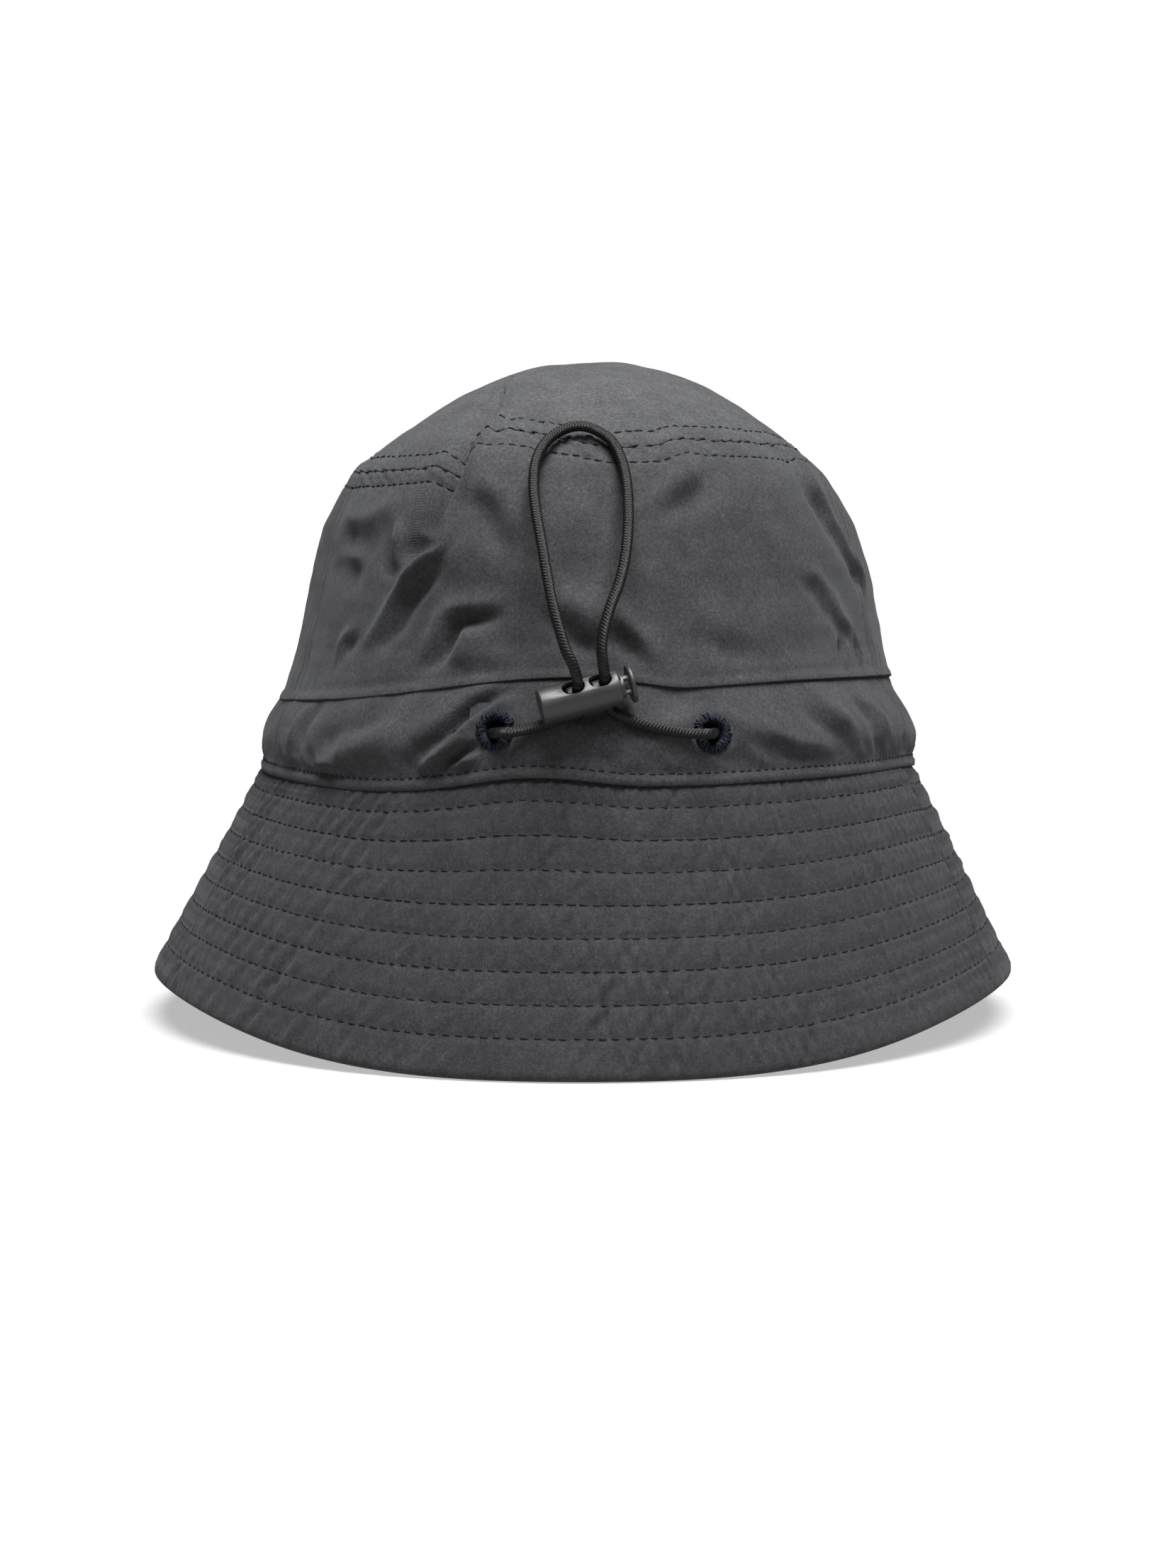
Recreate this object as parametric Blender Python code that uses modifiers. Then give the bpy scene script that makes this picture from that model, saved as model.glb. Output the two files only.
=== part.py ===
"""Bucket hat with a quilted brim, a drawcord casing and a sprung two-hole cord lock.

The hat stands on its brim. +Z is up, -Y is the back of the head, where the cord comes out, and
+X is to the right seen from the back. Every fabric layer is its own closed shell, offset from
one of three surfaces: the wall (casing and crown side), the tip and the brim.
"""
import math

import bmesh
import bpy
from mathutils import Matrix, Vector

MM = 0.001
COLLECTION = "bucket_hat"

# ---- driving dimensions --------------------------------------------------------------------
BRIM_SEAM_Z = 65.0 * MM
SEAM_HALF_WIDTH = 88.5 * MM
OVAL_EXTRA = 16.5 * MM            # each oval is this much longer, front to back, at each end
EDGE_HALF_WIDTH = 116.8 * MM
EDGE_HALF_LENGTH = 124.0 * MM
SIDE_ARCH = 11.5 * MM             # how far the brim edge lifts at the two sides
HEM_TRIM = 0.4 * MM               # brim cloth cut away where the hem stands on a surface
SIDE_SEAM_SHIFT = math.radians(24.0)   # the side seams lie this far behind the two sides
SEAM_CLEARANCE = 0.00237          # radians between a side seam and each panel beside it

CASING_TOP = 24.6 * MM            # heights above the brim seam
LIP_HEIGHT = 22.6 * MM            # the crown's folded lower edge, over the top of the casing
LIP_STAND_OFF = 1.1 * MM
LIP_FADE = 12.0 * MM
CROWN_HEIGHT = 86.0 * MM
TIP_RISE = 24.4 * MM
EYELET_HEIGHT = 12.0 * MM

# half-width of the wall at heights above the brim seam, both in millimetres
WALL_PROFILE = (
    (0.0, 88.6), (4.0, 88.3), (12.0, 88.0), (18.0, 85.6), (24.0, 83.0),
    (40.0, 79.4), (56.0, 75.8), (68.0, 71.6), (78.0, 66.2), (86.0, 57.8),
)
TIP_HALF_WIDTH = WALL_PROFILE[-1][1] * MM

SHELL = 0.7 * MM                  # face fabric
STIFFENER = 0.6 * MM
TAPE = 0.5 * MM
TIP_TAPE_DEPTH = 1.0 * MM         # how far behind the outer face each tape or patch lies
SIDE_TAPE_DEPTH = 1.2 * MM
PATCH_DEPTH = 1.05 * MM
TAPE_HALF_WIDTH = 4.0 * MM
GAP = 0.3 * MM
CHANNEL_DEPTH = 3.1 * MM          # cord centreline under the casing's outer face
CHANNEL_CLEAR = 0.11              # radians from each eyelet's exit to the cord's run round the hat
SWEATBAND_DEPTH = 4.7 * MM
SWEATBAND_THICKNESS = 0.8 * MM
SWEATBAND_TOP = 26.0 * MM
LABEL = 0.4 * MM
LABEL_HALF_WIDTH = 11.0 * MM
LABEL_HEIGHTS = (9.0 * MM, 18.0 * MM)

BACK_COLUMNS = 20                 # facets round the hat, per panel
FRONT_COLUMNS = 34

# ---- cord, eyelets and lock ----------------------------------------------------------------
CORD_RADIUS = 1.25 * MM
LEAD_SPACING = 2.2 * MM           # straight pieces along the leads and along the loop
LOOP_SPACING = 5.0 * MM
LEFT_EYELET_X = -21.6 * MM
RIGHT_EYELET_X = 29.1 * MM
EYELET_BORE = 2.5 * MM
EYELET_TUBE = 3.0 * MM
EYELET_RIM = 4.5 * MM
PATCH_HALF = 7.5 * MM
PATCH_HOLE = 4.6 * MM

LOCK_CENTRE = Vector((-1.9, -108.2, 85.6)) * MM
LOCK_YAW = math.radians(8.0)
LOCK_TILT = math.radians(14.4)
LOCK_ROLL = math.radians(45.0)
BARREL_RADIUS = 4.2 * MM
BARREL_HALF = 9.5 * MM
BORE_RADIUS = 3.2 * MM
END_WALL = 1.0 * MM
SLOT_LENGTH = 5.4 * MM
SLOT_WIDTH = 3.8 * MM
CORD_STATIONS = (-0.1 * MM, 6.3 * MM)     # where the two cords cross the barrel's axis
PLUNGER_RADIUS = 2.9 * MM
PLUNGER_TRAVEL = 2.0 * MM
WINDOW_WIDTH = 3.6 * MM
PLUNGER_WALL = 1.2 * MM
NECK_RADIUS = 1.9 * MM
FLANGE_RADIUS = 4.5 * MM
FLANGE_START = 11.8 * MM
FLANGE_THICKNESS = 1.0 * MM
SPRING_RADIUS = 2.4 * MM
SPRING_WIRE = 0.25 * MM
SPRING_TURNS = 3.5

# The cord's own route where it shows, in millimetres. Each list runs in the cord's direction.
EXIT_LEFT = (
    (-27.0, -96.0, 77.0), (-24.5, -97.1, 77.0), (-23.0, -98.4, 77.0), (-22.0, -100.9, 77.0),
    (-21.6, -103.0, 77.1), (-20.9, -104.5, 77.3), (-19.8, -105.3, 77.4), (-18.4, -105.5, 77.4),
)
LEAD_LEFT = (
    (-18.0, -105.5, 77.4), (-14.2, -105.3, 78.1), (-9.6, -104.8, 79.4), (-5.4, -104.4, 80.8),
    (-2.7, -104.3, 81.7), (-1.7, -105.2, 82.7), (-2.0, -108.2, 85.6), (-2.4, -111.7, 88.9),
)
LOOP = (
    (-2.4, -112.15, 89.35), (-2.5, -113.0, 90.2), (-3.4, -113.7, 93.0), (-5.2, -113.3, 96.8),
    (-7.8, -110.2, 105.6), (-9.5, -106.0, 114.0), (-10.9, -101.2, 122.0), (-12.3, -95.9, 129.7),
    (-12.8, -91.1, 136.0), (-12.2, -86.6, 141.4), (-9.9, -82.4, 146.0), (-6.1, -79.5, 149.0),
    (-2.2, -78.6, 150.0), (1.8, -79.4, 149.0), (5.7, -82.2, 146.0), (8.0, -86.3, 141.2),
    (9.1, -91.0, 135.6), (9.4, -96.2, 128.9), (9.1, -101.0, 122.2), (8.3, -104.8, 116.3),
    (6.9, -107.7, 111.0), (5.1, -110.1, 106.3), (3.6, -112.1, 101.0), (3.1, -113.0, 97.0),
    (3.3, -113.0, 94.0), (3.6, -112.4, 92.2), (3.7, -111.6, 91.25),
)
LEAD_RIGHT = (
    (3.7, -111.2, 90.8), (4.1, -107.4, 87.2), (4.5, -104.4, 84.3), (5.6, -103.9, 82.6),
    (8.0, -104.2, 81.1), (12.0, -104.4, 79.6), (17.0, -104.0, 78.2), (22.0, -103.3, 77.3),
    (25.8, -103.0, 77.0),
)
EXIT_RIGHT = (
    (26.2, -103.0, 77.0), (27.6, -102.8, 77.0), (28.7, -102.0, 77.0), (29.2, -100.3, 77.0),
    (29.5, -98.1, 77.0), (30.2, -95.5, 77.0), (31.5, -94.1, 77.0), (34.0, -92.7, 77.0),
)

COLOURS = {
    "shell_fabric": ((0.075, 0.076, 0.082), 0.85, 0.0),
    "lining_fabric": ((0.060, 0.061, 0.066), 0.88, 0.0),
    "stiffener": ((0.45, 0.45, 0.44), 0.9, 0.0),
    "tape": ((0.030, 0.031, 0.035), 0.7, 0.0),
    "thread": ((0.012, 0.014, 0.022), 0.6, 0.0),
    "cord": ((0.015, 0.015, 0.017), 0.45, 0.0),
    "lock_plastic": ((0.035, 0.035, 0.036), 0.42, 0.0),
    "spring_steel": ((0.75, 0.74, 0.72), 0.25, 1.0),
    "label": ((0.70, 0.70, 0.68), 0.6, 0.0),
}


# ---- scene helpers -------------------------------------------------------------------------
def clear_scene():
    for item in list(bpy.data.objects):
        bpy.data.objects.remove(item, do_unlink=True)


def make_collection(name):
    collection = bpy.data.collections.new(name)
    bpy.context.scene.collection.children.link(collection)
    return collection


def set_material(item, slot):
    colour, roughness, metallic = COLOURS[slot]
    material = bpy.data.materials.new(item.name + "_material")
    material.use_nodes = True
    shader = material.node_tree.nodes["Principled BSDF"]
    shader.inputs["Base Color"].default_value = (*colour, 1.0)
    shader.inputs["Roughness"].default_value = roughness
    shader.inputs["Metallic"].default_value = metallic
    item.data.materials.append(material)


def add_object(name, data, slot, matrix=None):
    item = bpy.data.objects.new(name, data)
    parts.objects.link(item)
    if matrix is not None:
        item.matrix_world = matrix
    set_material(item, slot)
    return item


def add_cutter(name, mesh, matrix=None):
    item = bpy.data.objects.new(name, mesh)
    cutters.objects.link(item)
    if matrix is not None:
        item.matrix_world = matrix
    item.hide_render = True
    item.display_type = "WIRE"
    return item


def cut(item, cutter):
    modifier = item.modifiers.new("cut_" + cutter.name, "BOOLEAN")
    modifier.operation = "DIFFERENCE"
    modifier.object = cutter


def mesh_from(work, name):
    mesh = bpy.data.meshes.new(name)
    work.to_mesh(mesh)
    work.free()
    return mesh


# ---- the three surfaces --------------------------------------------------------------------
def smoothstep(value):
    value = min(max(value, 0.0), 1.0)
    return value * value * (3.0 - 2.0 * value)


def profile_at(points, x):
    """A smooth curve through (x, y) points, with the slope at each from its two neighbours."""
    last = len(points) - 1
    i = 0
    while i < last - 1 and x > points[i + 1][0]:
        i += 1
    slopes = []
    for k in (i, i + 1):
        before = points[max(k - 1, 0)]
        after = points[min(k + 1, last)]
        slopes.append((after[1] - before[1]) / (after[0] - before[0]))
    (x0, y0), (x1, y1) = points[i], points[i + 1]
    span = x1 - x0
    t = (x - x0) / span
    return (y0 * (2 * t**3 - 3 * t**2 + 1) + slopes[0] * span * (t**3 - 2 * t**2 + t)
            + y1 * (3 * t**2 - 2 * t**3) + slopes[1] * span * (t**3 - t**2))


def wall_point(angle, height):
    """Casing and crown side: height is measured from the brim seam."""
    half_width = profile_at(WALL_PROFILE, height / MM) * MM
    return Vector((half_width * math.cos(angle), (half_width + OVAL_EXTRA) * math.sin(angle),
                   BRIM_SEAM_Z + height))


def tip_point(angle, reach):
    """The domed top: reach runs from 0 at the crown's centre to 1 at the tip seam."""
    return Vector((TIP_HALF_WIDTH * reach * math.cos(angle),
                   (TIP_HALF_WIDTH + OVAL_EXTRA) * reach * math.sin(angle),
                   BRIM_SEAM_Z + CROWN_HEIGHT + TIP_RISE * (1.0 - reach * reach)))


def brim_point(angle, reach):
    """The brim: reach runs from 0 at the brim seam to 1 at the edge."""
    inner = Vector((SEAM_HALF_WIDTH * math.cos(angle),
                    (SEAM_HALF_WIDTH + OVAL_EXTRA) * math.sin(angle), BRIM_SEAM_Z - GAP))
    lift = SIDE_ARCH * smoothstep(math.cos(angle) ** 2) - HEM_TRIM
    outer = Vector((EDGE_HALF_WIDTH * math.cos(angle), EDGE_HALF_LENGTH * math.sin(angle), lift))
    return inner.lerp(outer, reach)


def tip_tape_point(angle, place):
    """A band across the tip seam: place 0 to 0.5 is on the wall and 0.5 to 1 on the tip."""
    if place <= 0.5:
        return wall_point(angle, CROWN_HEIGHT - (0.5 - place) * 2 * TAPE_HALF_WIDTH)
    return tip_point(angle, 1.0 - (place - 0.5) * 0.13)


def normal_at(point, angle, place, step):
    along = point(angle + 0.002, place) - point(angle - 0.002, place)
    across = point(angle, place + step) - point(angle, place - step)
    normal = along.cross(across).normalized()
    outward = Vector((math.cos(angle), math.sin(angle), 0.3))
    return normal if normal.dot(outward) > 0 else -normal


# ---- fabric shells -------------------------------------------------------------------------
def steps(start, end, count):
    return [start + (end - start) * i / count for i in range(count + 1)]


def shell(name, point, angles, places, offset, thickness, slot, closed=False, step=0.0002):
    """One layer of cloth: an open grid at an offset from a surface, thickened inwards.

    angles go anticlockwise seen from above; places go upwards, or inwards on the tip.
    """
    work = bmesh.new()
    rows = []
    for place in places:
        lift = offset(place) if callable(offset) else offset
        rows.append([work.verts.new(point(a, place) + normal_at(point, a, place, step) * lift)
                     for a in angles])
    count = len(angles)
    for lower, upper in zip(rows, rows[1:]):
        for i in range(count if closed else count - 1):
            j = (i + 1) % count
            work.faces.new((lower[i], lower[j], upper[j], upper[i]))
    item = add_object(name, mesh_from(work, name), slot)
    solid = item.modifiers.new("thickness", "SOLIDIFY")
    solid.thickness = thickness
    solid.offset = -1.0
    item.data.shade_smooth()
    return item


def panel_angles(side):
    """The back and front pieces meet at the two side seams, a fabric gap apart."""
    left, right = math.pi + SIDE_SEAM_SHIFT, 2 * math.pi - SIDE_SEAM_SHIFT
    if side == "back":
        return steps(left + SEAM_CLEARANCE, right - SEAM_CLEARANCE, BACK_COLUMNS)
    return steps(right - 2 * math.pi + SEAM_CLEARANCE, left - SEAM_CLEARANCE, FRONT_COLUMNS)


def ring_angles():
    count = BACK_COLUMNS + FRONT_COLUMNS
    return [2 * math.pi * i / count for i in range(count)]


def lip_offset(height):
    return LIP_STAND_OFF * (1.0 - smoothstep((height - LIP_HEIGHT) / LIP_FADE))


def make_crown():
    heights = [h * MM for h in (22.6, 27.0, 33.0, 45.0, 58.0, 69.0, 78.5)] + [CROWN_HEIGHT - GAP]
    for side in ("back", "front"):
        shell("crown_" + side + "_panel", wall_point, panel_angles(side), heights, lip_offset,
              SHELL, "shell_fabric")
    make_tip()
    shell("tip_seam_tape", tip_tape_point, ring_angles(), steps(0.0, 1.0, 4), -TIP_TAPE_DEPTH,
          TAPE, "tape", closed=True, step=0.01)
    half_angle = TAPE_HALF_WIDTH / SEAM_HALF_WIDTH
    tape_heights = [h * MM for h in (27.0, 40.0, 55.0, 68.0, 80.5)]
    seams = (("left", math.pi + SIDE_SEAM_SHIFT), ("right", 2 * math.pi - SIDE_SEAM_SHIFT))
    for side, seam in seams:
        shell("side_seam_tape_" + side, wall_point,
              steps(seam - half_angle, seam + half_angle, 2), tape_heights, -SIDE_TAPE_DEPTH,
              TAPE, "tape")


def make_tip():
    """The top oval is a disc of rings closing on one centre point."""
    angles = ring_angles()
    reaches = (0.993, 0.86, 0.66, 0.42, 0.2)
    item = shell("crown_tip", tip_point, angles, reaches, 0.0, SHELL, "shell_fabric",
                 closed=True, step=-0.01)
    work = bmesh.new()
    work.from_mesh(item.data)
    work.verts.ensure_lookup_table()
    centre = work.verts.new(tip_point(0.0, 0.0))
    inner = list(work.verts)[(len(reaches) - 1) * len(angles):len(reaches) * len(angles)]
    for i, vert in enumerate(inner):
        work.faces.new((vert, inner[(i + 1) % len(inner)], centre))
    work.to_mesh(item.data)
    work.free()
    item.data.shade_smooth()


def make_casing():
    heights = [h * MM for h in (0.0, 6.0, 12.0, 18.0)] + [CASING_TOP]
    for side in ("back", "front"):
        item = shell("casing_" + side, wall_point, panel_angles(side), heights, 0.0, SHELL,
                     "shell_fabric")
        if side == "back":
            for place in ("left", "right"):
                cut(item, eyelet_cutter(place, EYELET_TUBE + GAP, "casing"))
    shell("sweatband", wall_point, ring_angles(),
          [h * MM for h in (0.3, 9.0, 18.0)] + [SWEATBAND_TOP], -SWEATBAND_DEPTH,
          SWEATBAND_THICKNESS, "lining_fabric", closed=True)
    back = 1.5 * math.pi
    half_angle = LABEL_HALF_WIDTH / SEAM_HALF_WIDTH
    shell("size_label", wall_point, steps(back - half_angle, back + half_angle, 4), LABEL_HEIGHTS,
          -(SWEATBAND_DEPTH + SWEATBAND_THICKNESS + GAP), LABEL, "label")


def make_brim():
    layers = (
        ("brim_upper_", 0.0, SHELL, "shell_fabric", (1.0, 0.5, 0.0)),
        ("brim_interlining_", SHELL + GAP, STIFFENER, "stiffener", (0.95, 0.5, 0.012)),
        ("brim_under_", SHELL + 2 * GAP + STIFFENER, SHELL, "lining_fabric", (0.98, 0.5, 0.012)),
    )
    for side in ("back", "front"):
        for prefix, depth, thickness, slot, reaches in layers:
            item = shell(prefix + side, brim_point, panel_angles(side), reaches, -depth,
                         thickness, slot, step=0.01)
            if prefix == "brim_upper_":
                cut(item, floor_cutter)


# ---- eyelets -------------------------------------------------------------------------------
def eyelet_frame(place):
    """Origin on the casing's outer face, local Z along the outward normal."""
    x = LEFT_EYELET_X if place == "left" else RIGHT_EYELET_X
    half_width = profile_at(WALL_PROFILE, EYELET_HEIGHT / MM) * MM
    angle = 2 * math.pi - math.acos(x / half_width)
    outward = normal_at(wall_point, angle, EYELET_HEIGHT, 0.0002)
    turn = outward.to_track_quat("Z", "Y").to_matrix().to_4x4()
    return Matrix.Translation(wall_point(angle, EYELET_HEIGHT)) @ turn, angle


def eyelet_cutter(place, radius, name):
    work = bmesh.new()
    bmesh.ops.create_cone(work, cap_ends=True, segments=24, radius1=radius, radius2=radius,
                          depth=8.0 * MM)
    frame, _ = eyelet_frame(place)
    return add_cutter("hole_" + name + "_" + place, mesh_from(work, "hole"), frame)


def turned(name, profile, slot, segments, matrix, closed):
    """Turns a profile of (radius, height) points, in millimetres, about local Z."""
    work = bmesh.new()
    verts = [work.verts.new((r * MM, 0.0, z * MM)) for r, z in profile]
    for first, second in zip(verts, verts[1:]):
        work.edges.new((first, second))
    if closed:
        work.edges.new((verts[-1], verts[0]))
    item = add_object(name, mesh_from(work, name), slot, matrix)
    screw = item.modifiers.new("turn", "SCREW")
    screw.steps = segments
    screw.render_steps = segments
    screw.use_merge_vertices = True
    screw.merge_threshold = 0.00001
    return item


def make_eyelets():
    bore, tube, rim = EYELET_BORE / MM, EYELET_TUBE / MM, EYELET_RIM / MM
    profile = ((bore, 1.05), (bore + 0.7, 1.35), (rim - 0.5, 1.2), (rim, 0.8), (rim - 0.2, 0.45),
               (tube, 0.4), (tube, -0.9), (bore, -0.9))
    half_angle = PATCH_HALF / SEAM_HALF_WIDTH
    for place in ("left", "right"):
        frame, angle = eyelet_frame(place)
        turned("eyelet_" + place, profile, "thread", 28, frame, closed=True)
        heights = [EYELET_HEIGHT - PATCH_HALF, EYELET_HEIGHT, EYELET_HEIGHT + PATCH_HALF]
        patch = shell("eyelet_backing_" + place, wall_point,
                      steps(angle - half_angle, angle + half_angle, 4), heights, -PATCH_DEPTH,
                      TAPE, "tape")
        cut(patch, eyelet_cutter(place, PATCH_HOLE, "backing"))


# ---- cord ----------------------------------------------------------------------------------
def through(points, spacing):
    """Evenly spaced points on a smooth curve through the given ones."""
    route = [Vector(p) * MM for p in points]
    dense = []
    for i in range(len(route) - 1):
        p0 = route[max(i - 1, 0)]
        p1, p2 = route[i], route[i + 1]
        p3 = route[min(i + 2, len(route) - 1)]
        for k in range(16):
            t = k / 16
            dense.append(0.5 * (2 * p1 + (p2 - p0) * t + (2 * p0 - 5 * p1 + 4 * p2 - p3) * t**2
                                + (3 * p1 - p0 - 3 * p2 + p3) * t**3))
    dense.append(route[-1])
    lengths = [0.0]
    for a, b in zip(dense, dense[1:]):
        lengths.append(lengths[-1] + (b - a).length)
    count = max(2, round(lengths[-1] / spacing))
    result = []
    i = 0
    for k in range(count + 1):
        target = lengths[-1] * k / count
        while i < len(dense) - 2 and lengths[i + 1] < target:
            i += 1
        share = (target - lengths[i]) / (lengths[i + 1] - lengths[i])
        result.append(dense[i].lerp(dense[i + 1], share))
    return result


def tube(name, points, radius, slot, matrix=None):
    curve = bpy.data.curves.new(name, "CURVE")
    curve.dimensions = "3D"
    curve.bevel_depth = radius
    curve.bevel_resolution = 2
    curve.use_fill_caps = True
    spline = curve.splines.new("POLY")
    spline.points.add(len(points) - 1)
    for control, place in zip(spline.points, points):
        control.co = (*place, 1.0)
    return add_object(name, curve, slot, matrix)


def channel_route():
    """Inside the casing, from the left eyelet round the front to the right one."""
    start = math.atan2(EXIT_LEFT[0][1] / (SEAM_HALF_WIDTH + OVAL_EXTRA),
                       EXIT_LEFT[0][0] / SEAM_HALF_WIDTH)
    end = math.atan2(EXIT_RIGHT[-1][1] / (SEAM_HALF_WIDTH + OVAL_EXTRA),
                     EXIT_RIGHT[-1][0] / SEAM_HALF_WIDTH)
    angles = steps(start + 2 * math.pi - CHANNEL_CLEAR, end + CHANNEL_CLEAR, 54)
    return [wall_point(a, EYELET_HEIGHT)
            - normal_at(wall_point, a, EYELET_HEIGHT, 0.0002) * CHANNEL_DEPTH for a in angles]


def make_cord():
    hidden = channel_route()
    run = through(EXIT_LEFT[::-1], LEAD_SPACING)
    run += hidden
    run += through(EXIT_RIGHT[::-1], LEAD_SPACING)
    tube("cord_channel_run", run, CORD_RADIUS, "cord")
    tube("cord_lead_left", through(LEAD_LEFT, LEAD_SPACING), CORD_RADIUS, "cord")
    tube("cord_loop", through(LOOP, LOOP_SPACING), CORD_RADIUS, "cord")
    tube("cord_lead_right", through(LEAD_RIGHT, LEAD_SPACING), CORD_RADIUS, "cord")


# ---- cord lock -----------------------------------------------------------------------------
def lock_frame():
    """Local X is the barrel's axis, towards the plunger; local Z is the way the cords run."""
    return (Matrix.Translation(LOCK_CENTRE) @ Matrix.Rotation(LOCK_YAW, 4, "Z")
            @ Matrix.Rotation(-LOCK_TILT, 4, "Y") @ Matrix.Rotation(LOCK_ROLL, 4, "X"))


def rod_mesh(radius, start, end, segments):
    work = bmesh.new()
    bmesh.ops.create_cone(work, cap_ends=True, segments=segments, radius1=radius, radius2=radius,
                          depth=end - start)
    bmesh.ops.transform(work, matrix=Matrix.Translation(((start + end) / 2, 0, 0))
                        @ Matrix.Rotation(math.pi / 2, 4, "Y"), verts=work.verts)
    return mesh_from(work, "rod")


def slot_cutter(name, start, end, width):
    """A prism with round ends, through the barrel the way the cords run."""
    work = bmesh.new()
    bmesh.ops.create_cube(work, size=1.0)
    size = Matrix.Diagonal((end - start, width, 14.0 * MM, 1.0))
    bmesh.ops.transform(work, matrix=Matrix.Translation(((start + end) / 2, 0, 0)) @ size,
                        verts=work.verts)
    upright = [e for e in work.edges if abs((e.verts[0].co - e.verts[1].co).z) > 10.0 * MM]
    bmesh.ops.bevel(work, geom=upright, offset=0.46 * width, segments=4, profile=0.5,
                    affect="EDGES")
    return add_cutter(name, mesh_from(work, name), lock_frame())


def make_barrel():
    item = add_object("cord_lock_barrel", rod_mesh(BARREL_RADIUS, -BARREL_HALF, BARREL_HALF, 32),
                      "lock_plastic", lock_frame())
    bevel = item.modifiers.new("edges", "BEVEL")
    bevel.width = 0.45 * MM
    bevel.segments = 2
    bevel.limit_method = "ANGLE"
    bevel.angle_limit = math.radians(60)
    bore = add_cutter("barrel_bore", rod_mesh(BORE_RADIUS, -BARREL_HALF + END_WALL,
                                              BARREL_HALF + 3.0 * MM, 32), lock_frame())
    cut(item, bore)
    for i, station in enumerate(CORD_STATIONS):
        right = station + CORD_RADIUS + GAP + 0.05 * MM
        cut(item, slot_cutter("barrel_slot_%d" % (i + 1), right - SLOT_LENGTH, right, SLOT_WIDTH))


def make_plunger():
    left = CORD_STATIONS[0] - CORD_RADIUS - GAP - PLUNGER_WALL
    window = 2 * (CORD_RADIUS + GAP) + PLUNGER_TRAVEL
    body, neck, flange = PLUNGER_RADIUS / MM, NECK_RADIUS / MM, FLANGE_RADIUS / MM
    start = FLANGE_START / MM
    end = start + FLANGE_THICKNESS / MM
    shoulder = (CORD_STATIONS[1] - CORD_RADIUS - GAP + window) / MM + 0.5
    profile = ((0.0, end), (flange - 0.35, end), (flange, end - 0.3), (flange, start + 0.3),
               (flange - 0.2, start), (neck, start), (neck, shoulder + 0.3), (body, shoulder),
               (body, left / MM + 0.3), (body - 0.3, left / MM), (0.0, left / MM))
    matrix = lock_frame() @ Matrix.Rotation(math.pi / 2, 4, "Y")
    item = turned("cord_lock_plunger", profile, "lock_plastic", 28, matrix, closed=False)
    for i, station in enumerate(CORD_STATIONS):
        begin = station - CORD_RADIUS - GAP
        cut(item, slot_cutter("plunger_window_%d" % (i + 1), begin, begin + window, WINDOW_WIDTH))
    return left


def make_spring(plunger_end):
    start = -BARREL_HALF + END_WALL + GAP + SPRING_WIRE
    end = plunger_end - GAP - SPRING_WIRE
    per_turn = 10
    count = round(SPRING_TURNS * per_turn)
    points = []
    for i in range(count + 1):
        turn = 2 * math.pi * i / per_turn
        points.append(Vector((start + (end - start) * i / count, SPRING_RADIUS * math.cos(turn),
                              SPRING_RADIUS * math.sin(turn))))
    tube("cord_lock_spring", points, SPRING_WIRE, "spring_steel", lock_frame())


# ---- build ---------------------------------------------------------------------------------
clear_scene()
parts = make_collection(COLLECTION)
cutters = make_collection(COLLECTION + "_cutters")

floor_box = bmesh.new()
bmesh.ops.create_cube(floor_box, size=1.0)
bmesh.ops.transform(floor_box, matrix=Matrix.Translation((0, 0, -0.005))
                    @ Matrix.Diagonal((0.3, 0.3, 0.01, 1.0)), verts=floor_box.verts)
floor_cutter = add_cutter("floor_trim", mesh_from(floor_box, "floor_trim"))

make_crown()
make_casing()
make_brim()
make_eyelets()
make_cord()
make_barrel()
make_spring(make_plunger())
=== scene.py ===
"""The looks of the bucket hat: cloth with seams and folds, stitching, cords, cord lock and light.

Shapes are worked out in millimetres and become metres when a mesh is made. Angles go
anticlockwise seen from above, so the back of the head, where the cord is, lies at 270 degrees.
"""
import math

import bmesh
import bpy
import numpy as np
from mathutils import Matrix, Vector


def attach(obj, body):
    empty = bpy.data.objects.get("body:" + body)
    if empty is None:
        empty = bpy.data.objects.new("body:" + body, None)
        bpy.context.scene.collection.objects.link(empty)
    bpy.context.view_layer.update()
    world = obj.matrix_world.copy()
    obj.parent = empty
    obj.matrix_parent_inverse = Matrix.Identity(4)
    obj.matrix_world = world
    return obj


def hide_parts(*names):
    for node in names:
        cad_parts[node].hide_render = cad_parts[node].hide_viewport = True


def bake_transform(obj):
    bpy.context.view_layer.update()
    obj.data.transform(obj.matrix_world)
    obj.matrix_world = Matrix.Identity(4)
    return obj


MM = 0.001
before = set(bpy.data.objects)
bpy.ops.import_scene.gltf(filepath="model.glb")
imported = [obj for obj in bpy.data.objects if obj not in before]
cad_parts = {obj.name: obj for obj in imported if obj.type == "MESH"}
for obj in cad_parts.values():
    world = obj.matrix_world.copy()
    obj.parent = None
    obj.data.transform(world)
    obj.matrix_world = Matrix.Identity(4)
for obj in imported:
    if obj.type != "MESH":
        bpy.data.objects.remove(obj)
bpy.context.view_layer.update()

# ---- the hat's sizes, the same as the frame's, in millimetres --------------------------------
BRIM_SEAM_Z = 65.0
SEAM_HALF_WIDTH = 88.5
OVAL_EXTRA = 16.5
EDGE_HALF_WIDTH = 116.8
EDGE_HALF_LENGTH = 124.0
SIDE_ARCH = 11.5
HEM_TRIM = 0.4
SIDE_SEAM = math.radians(24.0)
SEAM_CLEAR = 0.0012     # radians from a panel's border to the middle of its side seam
SEAM_OVERLAP = 0.0004   # radians that the brim's inner layers reach across that middle
TIP_SEAM_GAP = 0.05
LIP_HEIGHT = 22.6
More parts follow.
